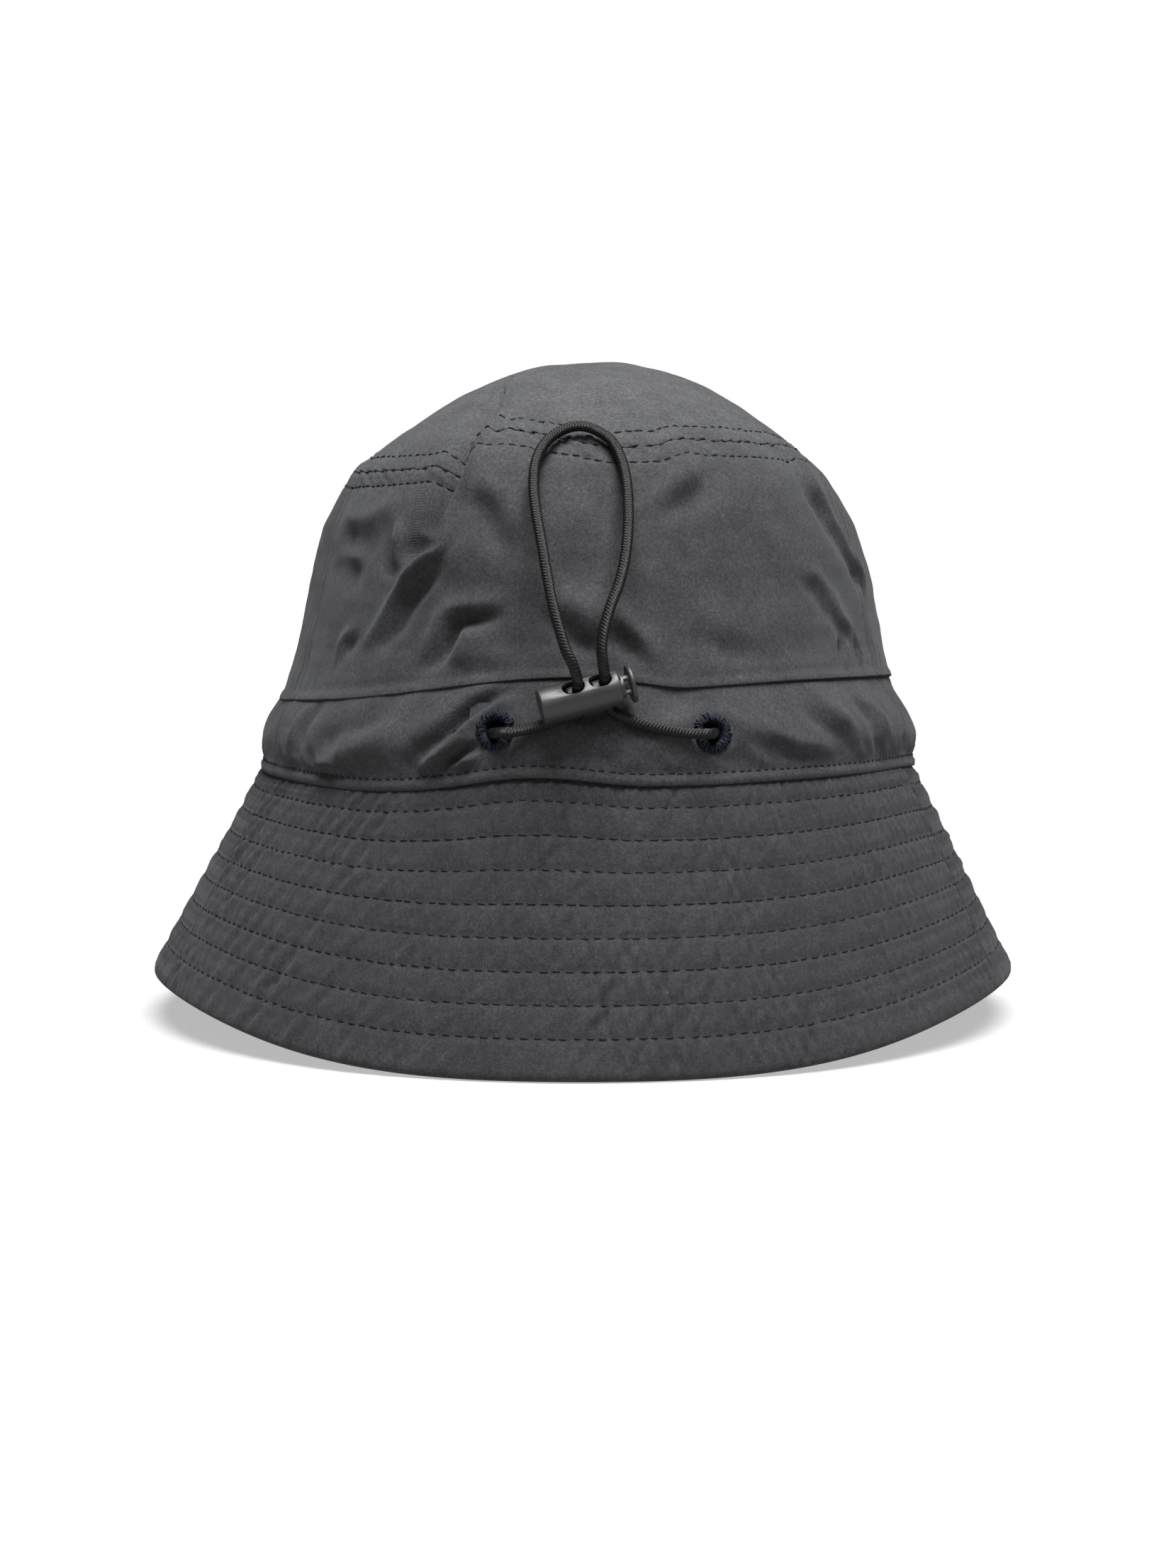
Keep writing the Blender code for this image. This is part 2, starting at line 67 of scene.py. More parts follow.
LIP_LOOK = 0.6          # the crown's lower edge lies this far off the casing's surface
LIP_FADE = 12.0
TOP_SETTLES = 1.8       # the middle of the tip has sunk this far
FOLD_DEPTH = 1.3        # a factor on every fold's height at the back
FOLD_FADE = 13.0        # each fold runs out over this length at its ends
CROWN_HEIGHT = 86.0
CROWN_SIDE = CROWN_HEIGHT - LIP_HEIGHT
TIP_RISE = 24.4
WALL_PROFILE = np.array((
    (0.0, 88.6), (4.0, 88.3), (12.0, 88.0), (18.0, 85.6), (24.0, 83.0),
    (40.0, 79.4), (56.0, 75.8), (68.0, 71.6), (78.0, 66.2), (86.0, 57.8),
))
SHELL = 0.7
GAP = 0.3
EYELET_X = {"left": -21.6, "right": 29.1}
EYELET_HEIGHT = 12.0
EYELET_HOLE = 3.1
CORD_RADIUS = 1.25
RIB_PITCH = 0.78
RIB_STARTS = 4
CHANNEL_DEPTH = 3.1

LOCK_CENTRE = Vector((-1.9, -108.2, 85.6))
LOCK_TURNS = ((8.0, "Z"), (-14.4, "Y"), (45.0, "X"))
BARREL_RADIUS = 4.2
BARREL_HALF = 9.5
BORE_RADIUS = 3.2
CORD_STATIONS = (-0.1, 6.3)
SLOT_LENGTH = 5.4
SLOT_WIDTH = 3.8
PLUNGER_RADIUS = 2.9
PLUNGER_TRAVEL = 2.0
PLUNGER_END = 1.2
WINDOW_WIDTH = 3.6
NECK_RADIUS = 1.9
NECK_RIB = (0.42, 2.75)     # half its thickness and half its width
FLANGE_RADIUS = 4.5
FLANGE_START = 11.8
SPRING_RADIUS = 2.4
SPRING_WIRE = 0.25
SPRING_TURNS = 3.5

# Millimetres of cloth for one unit of place, near the tip seam and along the brim at the back.
PLACE_LENGTH = 88.0
BRIM_LENGTH = 67.7
BRIM_ROWS = [(4.9 + 7.6 * k) / BRIM_LENGTH for k in range(8)]
BRIM_BORDERS = [0.0] + [row * BRIM_LENGTH for row in BRIM_ROWS] + [BRIM_LENGTH]
BRIM_TUCK = 0.022       # the brim's cloth starts this far above its seam, behind the casing
INNER_START = 0.012     # where the brim's inner layers start, and where each one ends
STIFFENER_END = 0.95
UNDERSIDE_END = 0.985
STIFFENER = 0.6
TAPE = 0.5
TAPE_WIDTH = 8.0
CASING_STITCH = 2.7
TIP_STITCHES = (-5.4, 5.6)
TIP_LENGTH = 152.0
LAST_RING = 1.988       # the tip's last ring of points, just short of its centre


# ---- curves and noise ------------------------------------------------------------------------
def smoothstep(value):
    value = np.clip(value, 0.0, 1.0)
    return value * value * (3.0 - 2.0 * value)


def bell(distance, width):
    return np.exp(-(distance / width) ** 2)


def soft_line(points, x, blur):
    """Straight runs through (x, y) points, with their corners rounded over blur on each side."""
    xs, ys = np.array(points).T
    shifts = np.linspace(-blur, blur, 9)
    return sum(np.interp(x + s, xs, ys) for s in shifts) / len(shifts)


def ripple(angle, cycles, seed):
    """Uneven waves round the hat, from -1 to 1, about that many in a full turn."""
    draw = np.random.default_rng(seed)
    counts = np.round(cycles * draw.uniform(0.6, 1.5, 7))
    phases = draw.uniform(0, 2 * math.pi, 7)
    return sum(np.sin(k * angle + p) for k, p in zip(counts, phases)) / 3.2


def waves(points, length, seed):
    """Soft unevenness in space, from about -1 to 1, with waves of about that length."""
    draw = np.random.default_rng(seed)
    total = 0.0
    for _ in range(8):
        direction = draw.normal(size=3)
        direction /= np.linalg.norm(direction)
        pitch = length * draw.uniform(0.7, 1.5)
        total = total + np.sin(points @ direction * (2 * math.pi / pitch) + draw.uniform(0, 6.28))
    return total / 3.6


def through(points, spacing):
    """Evenly spaced points on a smooth curve through the given ones."""
    route = np.array(points, float)
    padded = np.vstack([route[:1], route, route[-1:]])
    t = np.linspace(0, 1, 24, endpoint=False)[:, None]
    dense = []
    for p0, p1, p2, p3 in zip(padded, padded[1:], padded[2:], padded[3:]):
        dense.append(0.5 * (2 * p1 + (p2 - p0) * t + (2 * p0 - 5 * p1 + 4 * p2 - p3) * t**2
                            + (3 * p1 - p0 - 3 * p2 + p3) * t**3))
    dense = np.vstack(dense + [route[-1:]])
    return resampled(dense, spacing)


def unit(vectors):
    return vectors / np.maximum(np.linalg.norm(vectors, axis=-1, keepdims=True), 1e-12)


def reach_along(points):
    """How far along the line each of its points lies."""
    return np.concatenate([[0.0], np.cumsum(np.linalg.norm(np.diff(points, axis=0), axis=1))])


def resampled(points, spacing):
    reach = reach_along(points)
    stations = np.linspace(0, reach[-1], max(2, round(reach[-1] / spacing)) + 1)
    return np.stack([np.interp(stations, reach, points[:, k]) for k in range(points.shape[1])], 1)


# ---- the hat's surfaces ----------------------------------------------------------------------
def half_width_at(height):
    xs, ys = WALL_PROFILE.T
    last = len(xs) - 1
    order = np.arange(len(xs))
    before, after = np.maximum(order - 1, 0), np.minimum(order + 1, last)
    slopes = (ys[after] - ys[before]) / (xs[after] - xs[before])
    i = np.clip(np.searchsorted(xs, height) - 1, 0, last - 1)
    span = xs[i + 1] - xs[i]
    t = (height - xs[i]) / span
    return (ys[i] * (2 * t**3 - 3 * t**2 + 1) + slopes[i] * span * (t**3 - 2 * t**2 + t)
            + ys[i + 1] * (3 * t**2 - 2 * t**3) + slopes[i + 1] * span * (t**3 - t**2))


def wall(angle, height):
    """The casing and everything behind it; height is measured from the brim seam."""
    half = half_width_at(height)
    return np.stack([half * np.cos(angle), (half + OVAL_EXTRA) * np.sin(angle),
                     BRIM_SEAM_Z + height + 0 * angle], -1)


def crown(angle, place):
    """Crown side and tip in one: place is 0 at the lip, 1 at the edge of the top, 2 at its centre."""
    height = LIP_HEIGHT + CROWN_SIDE * np.minimum(place, 1.0)
    reach = 2.0 - np.maximum(place, 1.0)
    half = half_width_at(height) * reach
    return np.stack([half * np.cos(angle), (half + OVAL_EXTRA * reach) * np.sin(angle),
                     BRIM_SEAM_Z + height + TIP_RISE * (1.0 - reach * reach) + 0 * angle], -1)


def brim(angle, reach):
    """The brim: reach is 0 at its seam and 1 at its edge."""
    lift = SIDE_ARCH * smoothstep(np.cos(angle) ** 2) - HEM_TRIM
    inner = (SEAM_HALF_WIDTH * np.cos(angle), (SEAM_HALF_WIDTH + OVAL_EXTRA) * np.sin(angle),
             BRIM_SEAM_Z - GAP + 0 * angle)
    outer = (EDGE_HALF_WIDTH * np.cos(angle), EDGE_HALF_LENGTH * np.sin(angle), lift)
    return np.stack([a + (b - a) * reach for a, b in zip(inner, outer)], -1)


STEPS = {wall: 0.2, crown: 0.004, brim: 0.01}


def normals(surface, angle, place):
    step = STEPS[surface]
    along = surface(angle + 0.002, place) - surface(angle - 0.002, place)
    across = surface(angle, place + step) - surface(angle, place - step)
    normal = unit(np.cross(along, across))
    outward = np.stack([np.cos(angle), np.sin(angle), 0.3 + 0 * angle], -1)
    return normal * np.where((normal * outward).sum(-1, keepdims=True) < 0, -1.0, 1.0)


BRIM_LEAN = -1.4        # how far the brim's edge has swung along X
SIDE_SLACK = (2.0, 1.0)  # how far the crown hangs in at its left and right side
# How far the brim seam lies above its level at places across the back.
SEAM_SAG = ((-95, 0.0), (-80, -0.8), (-66, -1.8), (-53, -2.4), (-42, -1.7), (-31, -0.4), (-22, 1.3),
            (-13, 2.1), (-4, 1.7), (4, 0.7), (12, 0.0), (28, 0.1), (45, 0.6), (62, 1.0), (82, 1.5),
            (95, 0.0))


def settle(points):
    """The brim seam isn't level at the back, and the brim has swung a little sideways."""
    x, y, z = np.moveaxis(points, -1, 0)
    sag = soft_line(SEAM_SAG, x, 4.0) * smoothstep(-y / 30.0) * bell(z - BRIM_SEAM_Z, 21.0)
    lean = BRIM_LEAN * smoothstep((BRIM_SEAM_Z - z) / 50.0)
    return points + np.stack([lean, 0 * x, sag], -1)


def slack(angle, z):
    """The unworn crown hangs in a little at its sides, and more at the left one."""
    sides = SIDE_SLACK[0] * bell(np.sin((angle - math.pi) / 2), 0.5)
    sides = sides + SIDE_SLACK[1] * bell(np.cos((angle - math.pi) / 2), 0.5)
    return -sides * smoothstep((z - 68.0) / 10.0)


# The crown's lower edge above its level, across the back.
LIP_LINE = ((-90, -3.4), (-79, -3.4), (-60, -2.2), (-40, -0.4), (-26, 0.7), (-13, 1.5), (-2, 2.0),
            (8, 1.5), (15, 0.6), (21, -0.3), (34, 0.4), (48, 1.2), (64, 1.7), (76, 1.9), (90, 1.9))
# The tip seam's place at angles round the hat. It jumps where the main fold takes it up.
TIP_SEAM = ((-30, 0.985), (20, 1.0), (150, 1.0), (180, 0.94), (205, 0.87), (234, 0.852),
            (240, 0.845), (244.6, 0.847), (245.4, 0.977), (249, 0.977), (251.4, 0.988),
            (257, 0.975), (264, 0.947), (268, 0.935), (271, 0.92), (274, 0.907), (282, 0.912),
            (285, 0.912), (287.5, 0.928), (290, 0.945), (302, 0.95), (309, 0.96), (324, 0.972),
            (340, 0.985), (380, 1.0))


def lip_place(angle):
    at_back = smoothstep((0.35 - np.sin(angle)) / 0.55)
    return soft_line(LIP_LINE, 83.0 * np.cos(angle), 3.0) * at_back / CROWN_SIDE


def tip_seam_place(angle):
    degrees = np.degrees(angle)
    degrees = np.where(degrees > 345, degrees - 360, degrees)
    return soft_line(TIP_SEAM, degrees, 0.9)


# ---- folds -----------------------------------------------------------------------------------
# Each fold is a line across the back, as (x, z) points, and its lobes: how far each lies to the
# right of the line seen going down it, its width and its height.
CROWN_FOLDS = (
    (((-18.0, 168.6), (-21.6, 158.6), (-25.5, 149.4), (-28.5, 143.0), (-31.0, 135.8),
      (-33.7, 129.0), (-35.9, 121.6), (-39.4, 118.2), (-44.1, 114.6), (-48.0, 111.0)),
     ((1.0, 1.6, 1.9), (4.6, 4.6, 1.0), (-3.8, 3.6, -2.4))),
    (((-19.0, 166.0), (-21.6, 158.6), (-25.5, 149.4), (-28.5, 143.0), (-31.0, 135.8)),
     ((0.6, 1.2, 0.6), (-2.8, 2.4, -1.1))),
    (((-24.0, 154.0), (-29.4, 146.0), (-33.0, 138.4), (-36.6, 130.4), (-39.0, 124.0)),
     ((-0.4, 2.8, -1.5), (-7.0, 4.0, 0.6))),
    (((-33.5, 121.0), (-36.3, 117.6), (-41.7, 112.0), (-45.9, 107.0), (-48.9, 101.8), (-52.1, 97.8),
      (-53.5, 93.0)), ((-2.6, 2.4, 1.9), (2.4, 2.6, -2.3))),
    (((-47.6, 129.0), (-47.3, 124.4), (-45.9, 116.4), (-47.0, 111.0)),
     ((0.0, 2.2, 1.3), (-3.4, 3.0, -0.9))),
    (((-17.5, 104.4), (-24.2, 105.2), (-31.0, 104.0), (-34.2, 99.2), (-37.4, 94.6), (-40.8, 90.8)),
     ((-2.6, 2.8, 1.1), (2.2, 2.4, -2.4), (7.0, 3.4, 1.2))),
    (((-28.6, 140.0), (-26.1, 135.6), (-22.1, 128.2), (-17.4, 121.2), (-15.0, 116.0)),
     ((2.0, 3.0, 0.7), (-2.6, 3.2, -1.4))),
    (((-65.0, 128.4), (-60.3, 127.6), (-50.5, 126.8), (-47.0, 127.4)),
     ((2.4, 3.2, 0.9), (-2.2, 3.8, -1.5))),
    (((-67.0, 119.6), (-63.4, 119.4), (-57.1, 119.0), (-54.0, 120.0)),
     ((2.2, 3.0, 0.6), (-2.2, 3.8, -1.1))),
    (((31.4, 143.0), (28.8, 140.6), (23.5, 136.4), (18.5, 130.2), (16.0, 124.0)),
     ((-3.0, 3.4, 1.1), (2.6, 3.6, -1.0))),
    (((-11.0, 106.0), (-5.7, 102.8), (0.0, 99.6), (7.1, 95.8)), ((4.4, 5.0, 1.5), (-2.6, 2.8, -1.3))),
    (((3.6, 108.0), (7.1, 104.4), (13.0, 97.8), (16.0, 90.0)), ((0.4, 2.4, 1.5), (-3.4, 2.8, -1.6))),
    (((63.2, 102.6), (63.4, 98.0), (63.7, 88.0)), ((0.0, 1.3, -1.3), (2.1, 1.2, 0.8), (-2.4, 1.6, 0.5))),
    (((67.2, 103.0), (68.2, 97.0), (68.5, 88.6)), ((0.0, 1.2, -1.1), (2.0, 1.2, 0.6))),
    (((50.0, 148.6), (55.1, 143.4), (60.3, 132.6), (66.3, 123.8), (71.3, 115.0), (73.0, 108.0)),
     ((0.0, 2.1, 1.4), (-3.8, 3.4, -0.9))),
    (((52.0, 118.0), (56.1, 115.0), (62.0, 108.2), (66.5, 102.0), (68.0, 98.0)),
     ((0.0, 2.2, 0.9), (-3.0, 2.8, -0.7))),
    (((-58.0, 104.0), (-62.0, 98.0), (-63.5, 91.0)), ((0.0, 3.0, 0.9), (3.6, 3.0, -0.8))),
    (((-33.0, 94.6), (-27.0, 92.4), (-19.0, 91.0)), ((2.6, 3.2, 0.9), (-1.4, 2.4, -0.6))),
    (((22.0, 104.0), (34.0, 99.0), (48.0, 97.6)), ((3.0, 5.0, 0.8), (-3.0, 4.4, -0.7))),
)
CASING_FOLDS = (
    (((-14.0, 86.4), (-18.9, 84.6), (-26.0, 81.0), (-33.0, 76.0), (-40.9, 69.2), (-43.0, 66.6)),
     ((1.4, 2.0, 1.8), (-2.4, 2.2, -1.7), (-6.4, 2.6, 0.9))),
    (((-20.0, 76.6), (-24.7, 75.2), (-32.4, 71.0), (-37.4, 67.6)), ((-1.6, 1.6, 0.9), (1.2, 1.7, -1.5))),
    (((-22.0, 73.0), (-29.0, 69.6), (-34.0, 66.6)), ((0.6, 1.4, 1.1),)),
    (((-43.0, 82.0), (-49.8, 79.0), (-58.2, 75.2), (-66.1, 71.4), (-72.0, 69.4)),
     ((2.6, 3.6, 1.3), (-3.4, 3.4, -1.0))),
    (((-67.0, 86.0), (-68.7, 81.8), (-71.5, 77.2), (-72.5, 70.0)), ((0.6, 2.2, -1.6), (-3.2, 2.6, 1.0))),
    (((10.0, 80.6), (18.0, 81.4), (28.3, 82.6), (42.1, 81.6), (50.0, 82.4)), ((-3.4, 3.6, 0.9),)),
    (((50.0, 87.6), (52.2, 84.8), (56.7, 80.4), (61.4, 76.0), (66.0, 71.0)),
     ((2.6, 3.0, 1.2), (-2.4, 3.0, -1.3))),
    (((34.0, 77.0), (43.0, 74.0), (52.8, 70.6), (60.0, 69.0)), ((1.8, 2.2, 0.8), (-1.8, 2.2, -0.8))),
    (((-13.0, 77.6), (-6.0, 74.6), (4.0, 73.4), (12.0, 74.0)), ((1.8, 3.0, 0.6), (-2.0, 3.0, -0.6))),
    (((66.0, 87.0), (71.0, 80.0), (75.0, 72.0)), ((0.0, 2.6, 1.1), (-3.4, 2.6, -0.8))),
)
# Crumpled patches at the front and sides, where the crown sags: angle, place, length, lean, depth.
FRONT_FOLDS = (
    (12, 0.30, 46, 0.5, -2.2), (38, 0.58, 58, -0.8, -2.0), (66, 0.26, 44, 1.0, 1.7),
    (88, 0.66, 60, 0.3, -2.3), (112, 0.34, 50, -0.7, 1.8), (136, 0.60, 54, 0.9, -2.1),
    (158, 0.28, 44, -0.4, -1.9), (178, 0.62, 40, 0.6, 1.6), (24, 0.86, 42, 0.9, 1.6),
    (74, 0.92, 50, -1.1, 1.8), (124, 0.9, 46, 1.2, 1.5), (146, 1.0, 44, -0.9, -1.6),
)


def on_crown(x, z):
    """The point of the crown's back at that x and z."""
    place = np.linspace(0, 1.96, 800)
    heights = crown(np.zeros_like(place), place)[:, 2]
    at = np.interp(z, heights, place)
    half = np.interp(at, place, crown(np.zeros_like(place), place)[:, 0])
    angle = 2 * math.pi - np.arccos(np.clip(x / half, -0.999, 0.999))
    return crown(angle, at)


def on_casing(x, z):
    height = np.asarray(z) - BRIM_SEAM_Z
    angle = 2 * math.pi - np.arccos(np.clip(x / half_width_at(height), -0.999, 0.999))
    return wall(angle, height)


def eyelet_centre(side):
    return on_casing(np.array(EYELET_X[side]), np.array(BRIM_SEAM_Z + EYELET_HEIGHT))


def fold_height(points, normal, line, lobes):
    """The height a fold adds at each point. A fold fades towards both its ends."""
    lengths = np.linalg.norm(np.diff(line, axis=0), axis=1)
    reach = max(abs(shift) + 2.6 * width for shift, width, _ in lobes)
    total, start = lengths.sum(), 0.0
    flat, flat_normal = points.reshape(-1, 3), normal.reshape(-1, 3)
    near_box = np.all((flat > line.min(0) - reach) & (flat < line.max(0) + reach), axis=1)
    chosen = np.flatnonzero(near_box)
    result = np.zeros(len(flat))
    if not len(chosen):
        return result.reshape(points.shape[:-1])
    here, up = flat[chosen], flat_normal[chosen]
    best = np.full(len(chosen), 1e9)
    side, along = np.zeros(len(chosen)), np.zeros(len(chosen))
    for a, b, length in zip(line[:-1], line[1:], lengths):
        run = b - a
        t = np.clip((here - a) @ run / length**2, 0, 1)
        gap = here - a - t[:, None] * run
        distance = np.linalg.norm(gap, axis=1)
        closer = distance < best
        best[closer] = distance[closer]
        side[closer] = np.sign((np.cross(run, gap) * up).sum(1))[closer]
        along[closer] = ((start + t * length) / total)[closer]
        start += length
    fading = min(0.4, FOLD_FADE / total)
    fade = smoothstep(along / fading) * smoothstep((1.0 - along) / fading)
    signed = best * side
    result[chosen] = fade * sum(h * bell(signed - shift, width) for shift, width, h in lobes)
    return result.reshape(points.shape[:-1])


def back_folds(points, normal, folds, project):
    """The folds' heights; the cloth wanders a little off their lines."""
    strays = np.stack([1.3 * waves(points, 21.0, 51 + k) + 0.4 * waves(points, 8.0, 61 + k)
                       for k in range(3)], -1)
    points = points + strays - normal * (strays * normal).sum(-1, keepdims=True)
    total = 0.0
    for line, lobes in folds:
        route = through(line, 1.5)
        total = total + fold_height(points, normal, project(route[:, 0], route[:, 1]), lobes)
    return FOLD_DEPTH * total * (1.0 + 0.3 * waves(points, 15.0, 71))


def front_folds(points, normal):
    total = 0.0
    for degrees, place, length, lean, depth in FRONT_FOLDS:
        t = np.linspace(-0.5, 0.5, 15)
        angle = math.radians(degrees) + t * length * math.sin(lean) / 90.0 + 0.06 * t**2
        line = crown(angle, place + t * length * math.cos(lean) / PLACE_LENGTH)
        lobes = ((0.0, 4.6, depth), (5.5, 4.0, -0.45 * depth))
        total = total + fold_height(points, normal, line, lobes)
    return total


# ---- how far each cloth's face lies off its surface, in millimetres --------------------------
def crown_lift(angle, place):
    """Folds and soft waves, gathers over the lip, puckers at the tip seam, and the side seams."""
    points = crown(angle, place)
    normal = normals(crown, angle, place)
    height = CROWN_SIDE * place
    from_seam = (place - tip_seam_place(angle)) * PLACE_LENGTH
    above_lip = (place - lip_place(angle)) * CROWN_SIDE
    lift = LIP_LOOK * (1.0 - smoothstep(height / LIP_FADE))
    lift += slack(angle, points[..., 2]) * smoothstep((2.0 - place) / 0.8)
    lift -= TOP_SETTLES * smoothstep(place - 1.0)
    shape = back_folds(points, normal, CROWN_FOLDS, on_crown) + front_folds(points, normal)
    shape += 0.55 * waves(points, 46.0, 11) + 0.24 * waves(points, 16.0, 12)
    shape += 0.07 * waves(points, 7.0, 18)
    lift += shape * smoothstep((above_lip + 1.5) / 9.0)
    gathers = ripple(angle, 95, 13) * bell(above_lip, 7.0) + ripple(angle, 60, 14) * bell(above_lip, 16.0)
    lift += 0.04 * gathers * smoothstep(above_lip / 2.0)
    lift += 0.20 * bell(above_lip - 0.8, 0.7) - 0.16 * bell(above_lip - 2.6, 0.9)
    seam_band = bell(from_seam, 6.5)
    lift += seam_band * (0.26 * ripple(angle + 0.02 * from_seam, 75, 15) + 0.17 * ripple(angle, 150, 16))
    lift += 0.10 * bell(from_seam + 1.6, 1.7) + 0.10 * bell(from_seam - 1.6, 1.7)
    lift -= 0.15 * bell(from_seam, 0.6)
    for row in TIP_STITCHES:
        lift -= 0.26 * bell(from_seam - row, 0.6)
        lift += 0.10 * ripple(angle, 210, 17) * bell(from_seam - row, 1.6)
    from_side = np.minimum(abs(angle - math.pi - SIDE_SEAM), abs(angle - 2 * math.pi + SIDE_SEAM))
    from_side = np.minimum(from_side, abs(angle + SIDE_SEAM)) * 88.0
    on_side = smoothstep(-from_seam / 3.0)
    return lift + on_side * (0.25 * bell(from_side - 1.7, 1.4) - 0.2 * bell(from_side - 4.0, 0.6))


def casing_lift(angle, height):
    """The casing puffs out between its stitching and the lip, more at the sides than in the middle."""
    points = wall(angle, height)
    normal = normals(wall, angle, height)
    sides = smoothstep((abs(points[..., 0] + 4.0) - 22.0) / 24.0)
    full = 0.5 + 1.1 * sides
    bulge = full * smoothstep((height - CASING_STITCH + 0.4) / 8.0) * smoothstep((25.0 - height) / 17.0)
    soft = smoothstep((height - CASING_STITCH - 0.2) / 2.6) * smoothstep((24.5 - height) / 4.0)
    clear = 1.0
    for side in EYELET_X:
        from_eyelet = np.linalg.norm(points - eyelet_centre(side), axis=-1)
        clear = clear * smoothstep((from_eyelet - 3.6) / 4.0)
    shape = back_folds(points, normal, CASING_FOLDS, on_casing) + 0.45 * waves(points, 30.0, 21)
    shape += bulge + 0.22 * waves(points, 12.0, 22)
    gathers = ripple(angle + 0.012 * height, 70, 23) * bell(height - 4.0, 5.0)
    lift = soft * clear * (shape + 0.25 * gathers)
    lift += 0.6 * (1.0 - sides) * (1.0 - smoothstep(height / 13.0))
    lift += 0.40 * bell(height - 1.1, 1.1) - 0.45 * bell(height - CASING_STITCH, 0.6)
    lift += 0.10 * ripple(angle, 170, 24) * bell(height - CASING_STITCH, 1.4)
    return lift - 0.6 * smoothstep((height - 23.2) / 2.4) + slack(angle, points[..., 2])


def brim_lift(angle, reach):
    """Puffs between the rows of stitching, drawn into small slanting ripples by the thread."""
    points = brim(angle, reach)
    slant = reach * BRIM_LENGTH
    lift = 0.30 * waves(points, 60.0, 31)
    patches = 0.7 + 0.55 * waves(points, 38.0, 33)
    lean = 0.0035 * slant
    puckers = 0.46 * ripple(angle + lean, 120, 35) + 0.34 * ripple(angle - 0.7 * lean, 215, 36)
    puckers = puckers * patches + 0.09 * waves(points, 5.0, 37)
    for low, high in zip(BRIM_BORDERS, BRIM_BORDERS[1:]):
        across = np.clip((slant - low) / (high - low), 0, 1)
        band = np.sin(math.pi * across) ** 0.8
        own = ripple(angle + 0.010 * (slant - low), 92, 40 + int(low))
        lift += band * (0.17 + puckers + 0.09 * own * patches)
    for row in BRIM_ROWS:
        lift += (0.35 * puckers - 0.27) * bell(slant - row * BRIM_LENGTH, 0.65)
    lift += 0.16 * ripple(angle + 0.006 * slant, 190, 41) * bell(slant - 2.5, 4.5)
    at_edge = np.clip(1.0 - (BRIM_LENGTH - slant) / 1.7, 0.0, 1.0)
    return lift - 1.1 * (1.0 - np.sqrt(np.maximum(1.0 - at_edge**2, 0.0))) - 0.2 * bell(slant, 0.7)


def under_lift(angle, reach):
    """The brim's lower cloth hangs in shallow puffs between the rows."""
    slant = reach * BRIM_LENGTH
    lift = 0.0 * angle
    for low, high in zip(BRIM_BORDERS, BRIM_BORDERS[1:]):
        across = np.clip((slant - low) / (high - low), 0, 1)
        lift -= np.sin(math.pi * across) * (0.25 + 0.12 * ripple(angle + 0.01 * slant, 80, 51 + int(low)))
    return lift


def band_lift(angle, height):
    """The sweatband's soft waves, and the groove of its upper stitching."""
    return 0.25 * ripple(angle, 40, 61) * bell(height - 13.0, 9.0) - 0.25 * bell(height - 24.2, 0.8)


def flat_lift(angle, place):
    """The stiffener has no shape of its own."""
    return 0.0 * angle


# ---- meshes ----------------------------------------------------------------------------------
def linked(name, data):
    """A new object in the scene, made from a mesh, light or camera."""
    item = bpy.data.objects.new(name, data)
    bpy.context.scene.collection.objects.link(item)
    return item


def finished(work, name):
    """The mesh of a bmesh that is done with."""
    mesh = bpy.data.meshes.new(name)
    work.to_mesh(mesh)
    work.free()
    return mesh


def new_mesh(name, verts, faces, uvs=None, uv_faces=None):
    """verts in millimetres; faces is a list of (n, corners) arrays; uvs are in millimetres too."""
    mesh = bpy.data.meshes.new(name)
    corners = np.concatenate([f.ravel() for f in faces]).astype(np.int32)
    sizes = np.concatenate([np.full(len(f), f.shape[1]) for f in faces])
    mesh.vertices.add(len(verts))
    mesh.vertices.foreach_set("co", (verts * MM).astype(np.float32).ravel())
    mesh.loops.add(len(corners))
    mesh.loops.foreach_set("vertex_index", corners)
    mesh.polygons.add(len(sizes))
    mesh.polygons.foreach_set("loop_start", np.concatenate([[0], np.cumsum(sizes)[:-1]]).astype(np.int32))
    mesh.update(calc_edges=True)
    if uvs is not None:
        index = corners if uv_faces is None else np.concatenate([f.ravel() for f in uv_faces])
        layer = mesh.uv_layers.new(name="cloth")
        layer.data.foreach_set("uv", (uvs[index] * MM).astype(np.float32).ravel())
    mesh.shade_smooth()
    return mesh


def piece(name, mesh, material, body="hat", nodes=()):
    item = linked(name, mesh)
    item.data.materials.append(material)
    if body:
        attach(item, body)
    if nodes:
        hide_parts(*nodes)
    return item


def graded(count, length, rounding):
    """Shares from 0 to 1, closer near both ends, and each one's distance in mm to an end."""
    fine = np.array((0.0, 0.06, 0.16, 0.32, 0.6, 1.0)) * rounding / length
    inner = np.linspace(fine[-1], 1 - fine[-1], count)
    share = np.concatenate([fine[:-1], inner, 1 - fine[-2::-1]])
    return share, np.minimum(share, 1 - share) * length


def flat_places(face, planar):
    """Where each grid point lies on the cloth laid flat; the first column comes again at the end."""
    wide = np.concatenate([face, face[:, :1]], 1)
    if planar:
        return wide[..., :2].reshape(-1, 2)
    across = np.cumsum(np.linalg.norm(np.diff(wide, axis=1, prepend=wide[:, :1]), axis=-1), 1)
    across -= across[:, face.shape[1] // 2, None]
    up = np.cumsum(np.linalg.norm(np.diff(wide, axis=0, prepend=wide[:1]), axis=-1), 0)
    return np.stack([across, up], -1).reshape(-1, 2)


def sides_of(faces):
    return np.concatenate([np.stack([faces[:, k], faces[:, (k + 1) % 4]], 1) for k in range(4)])


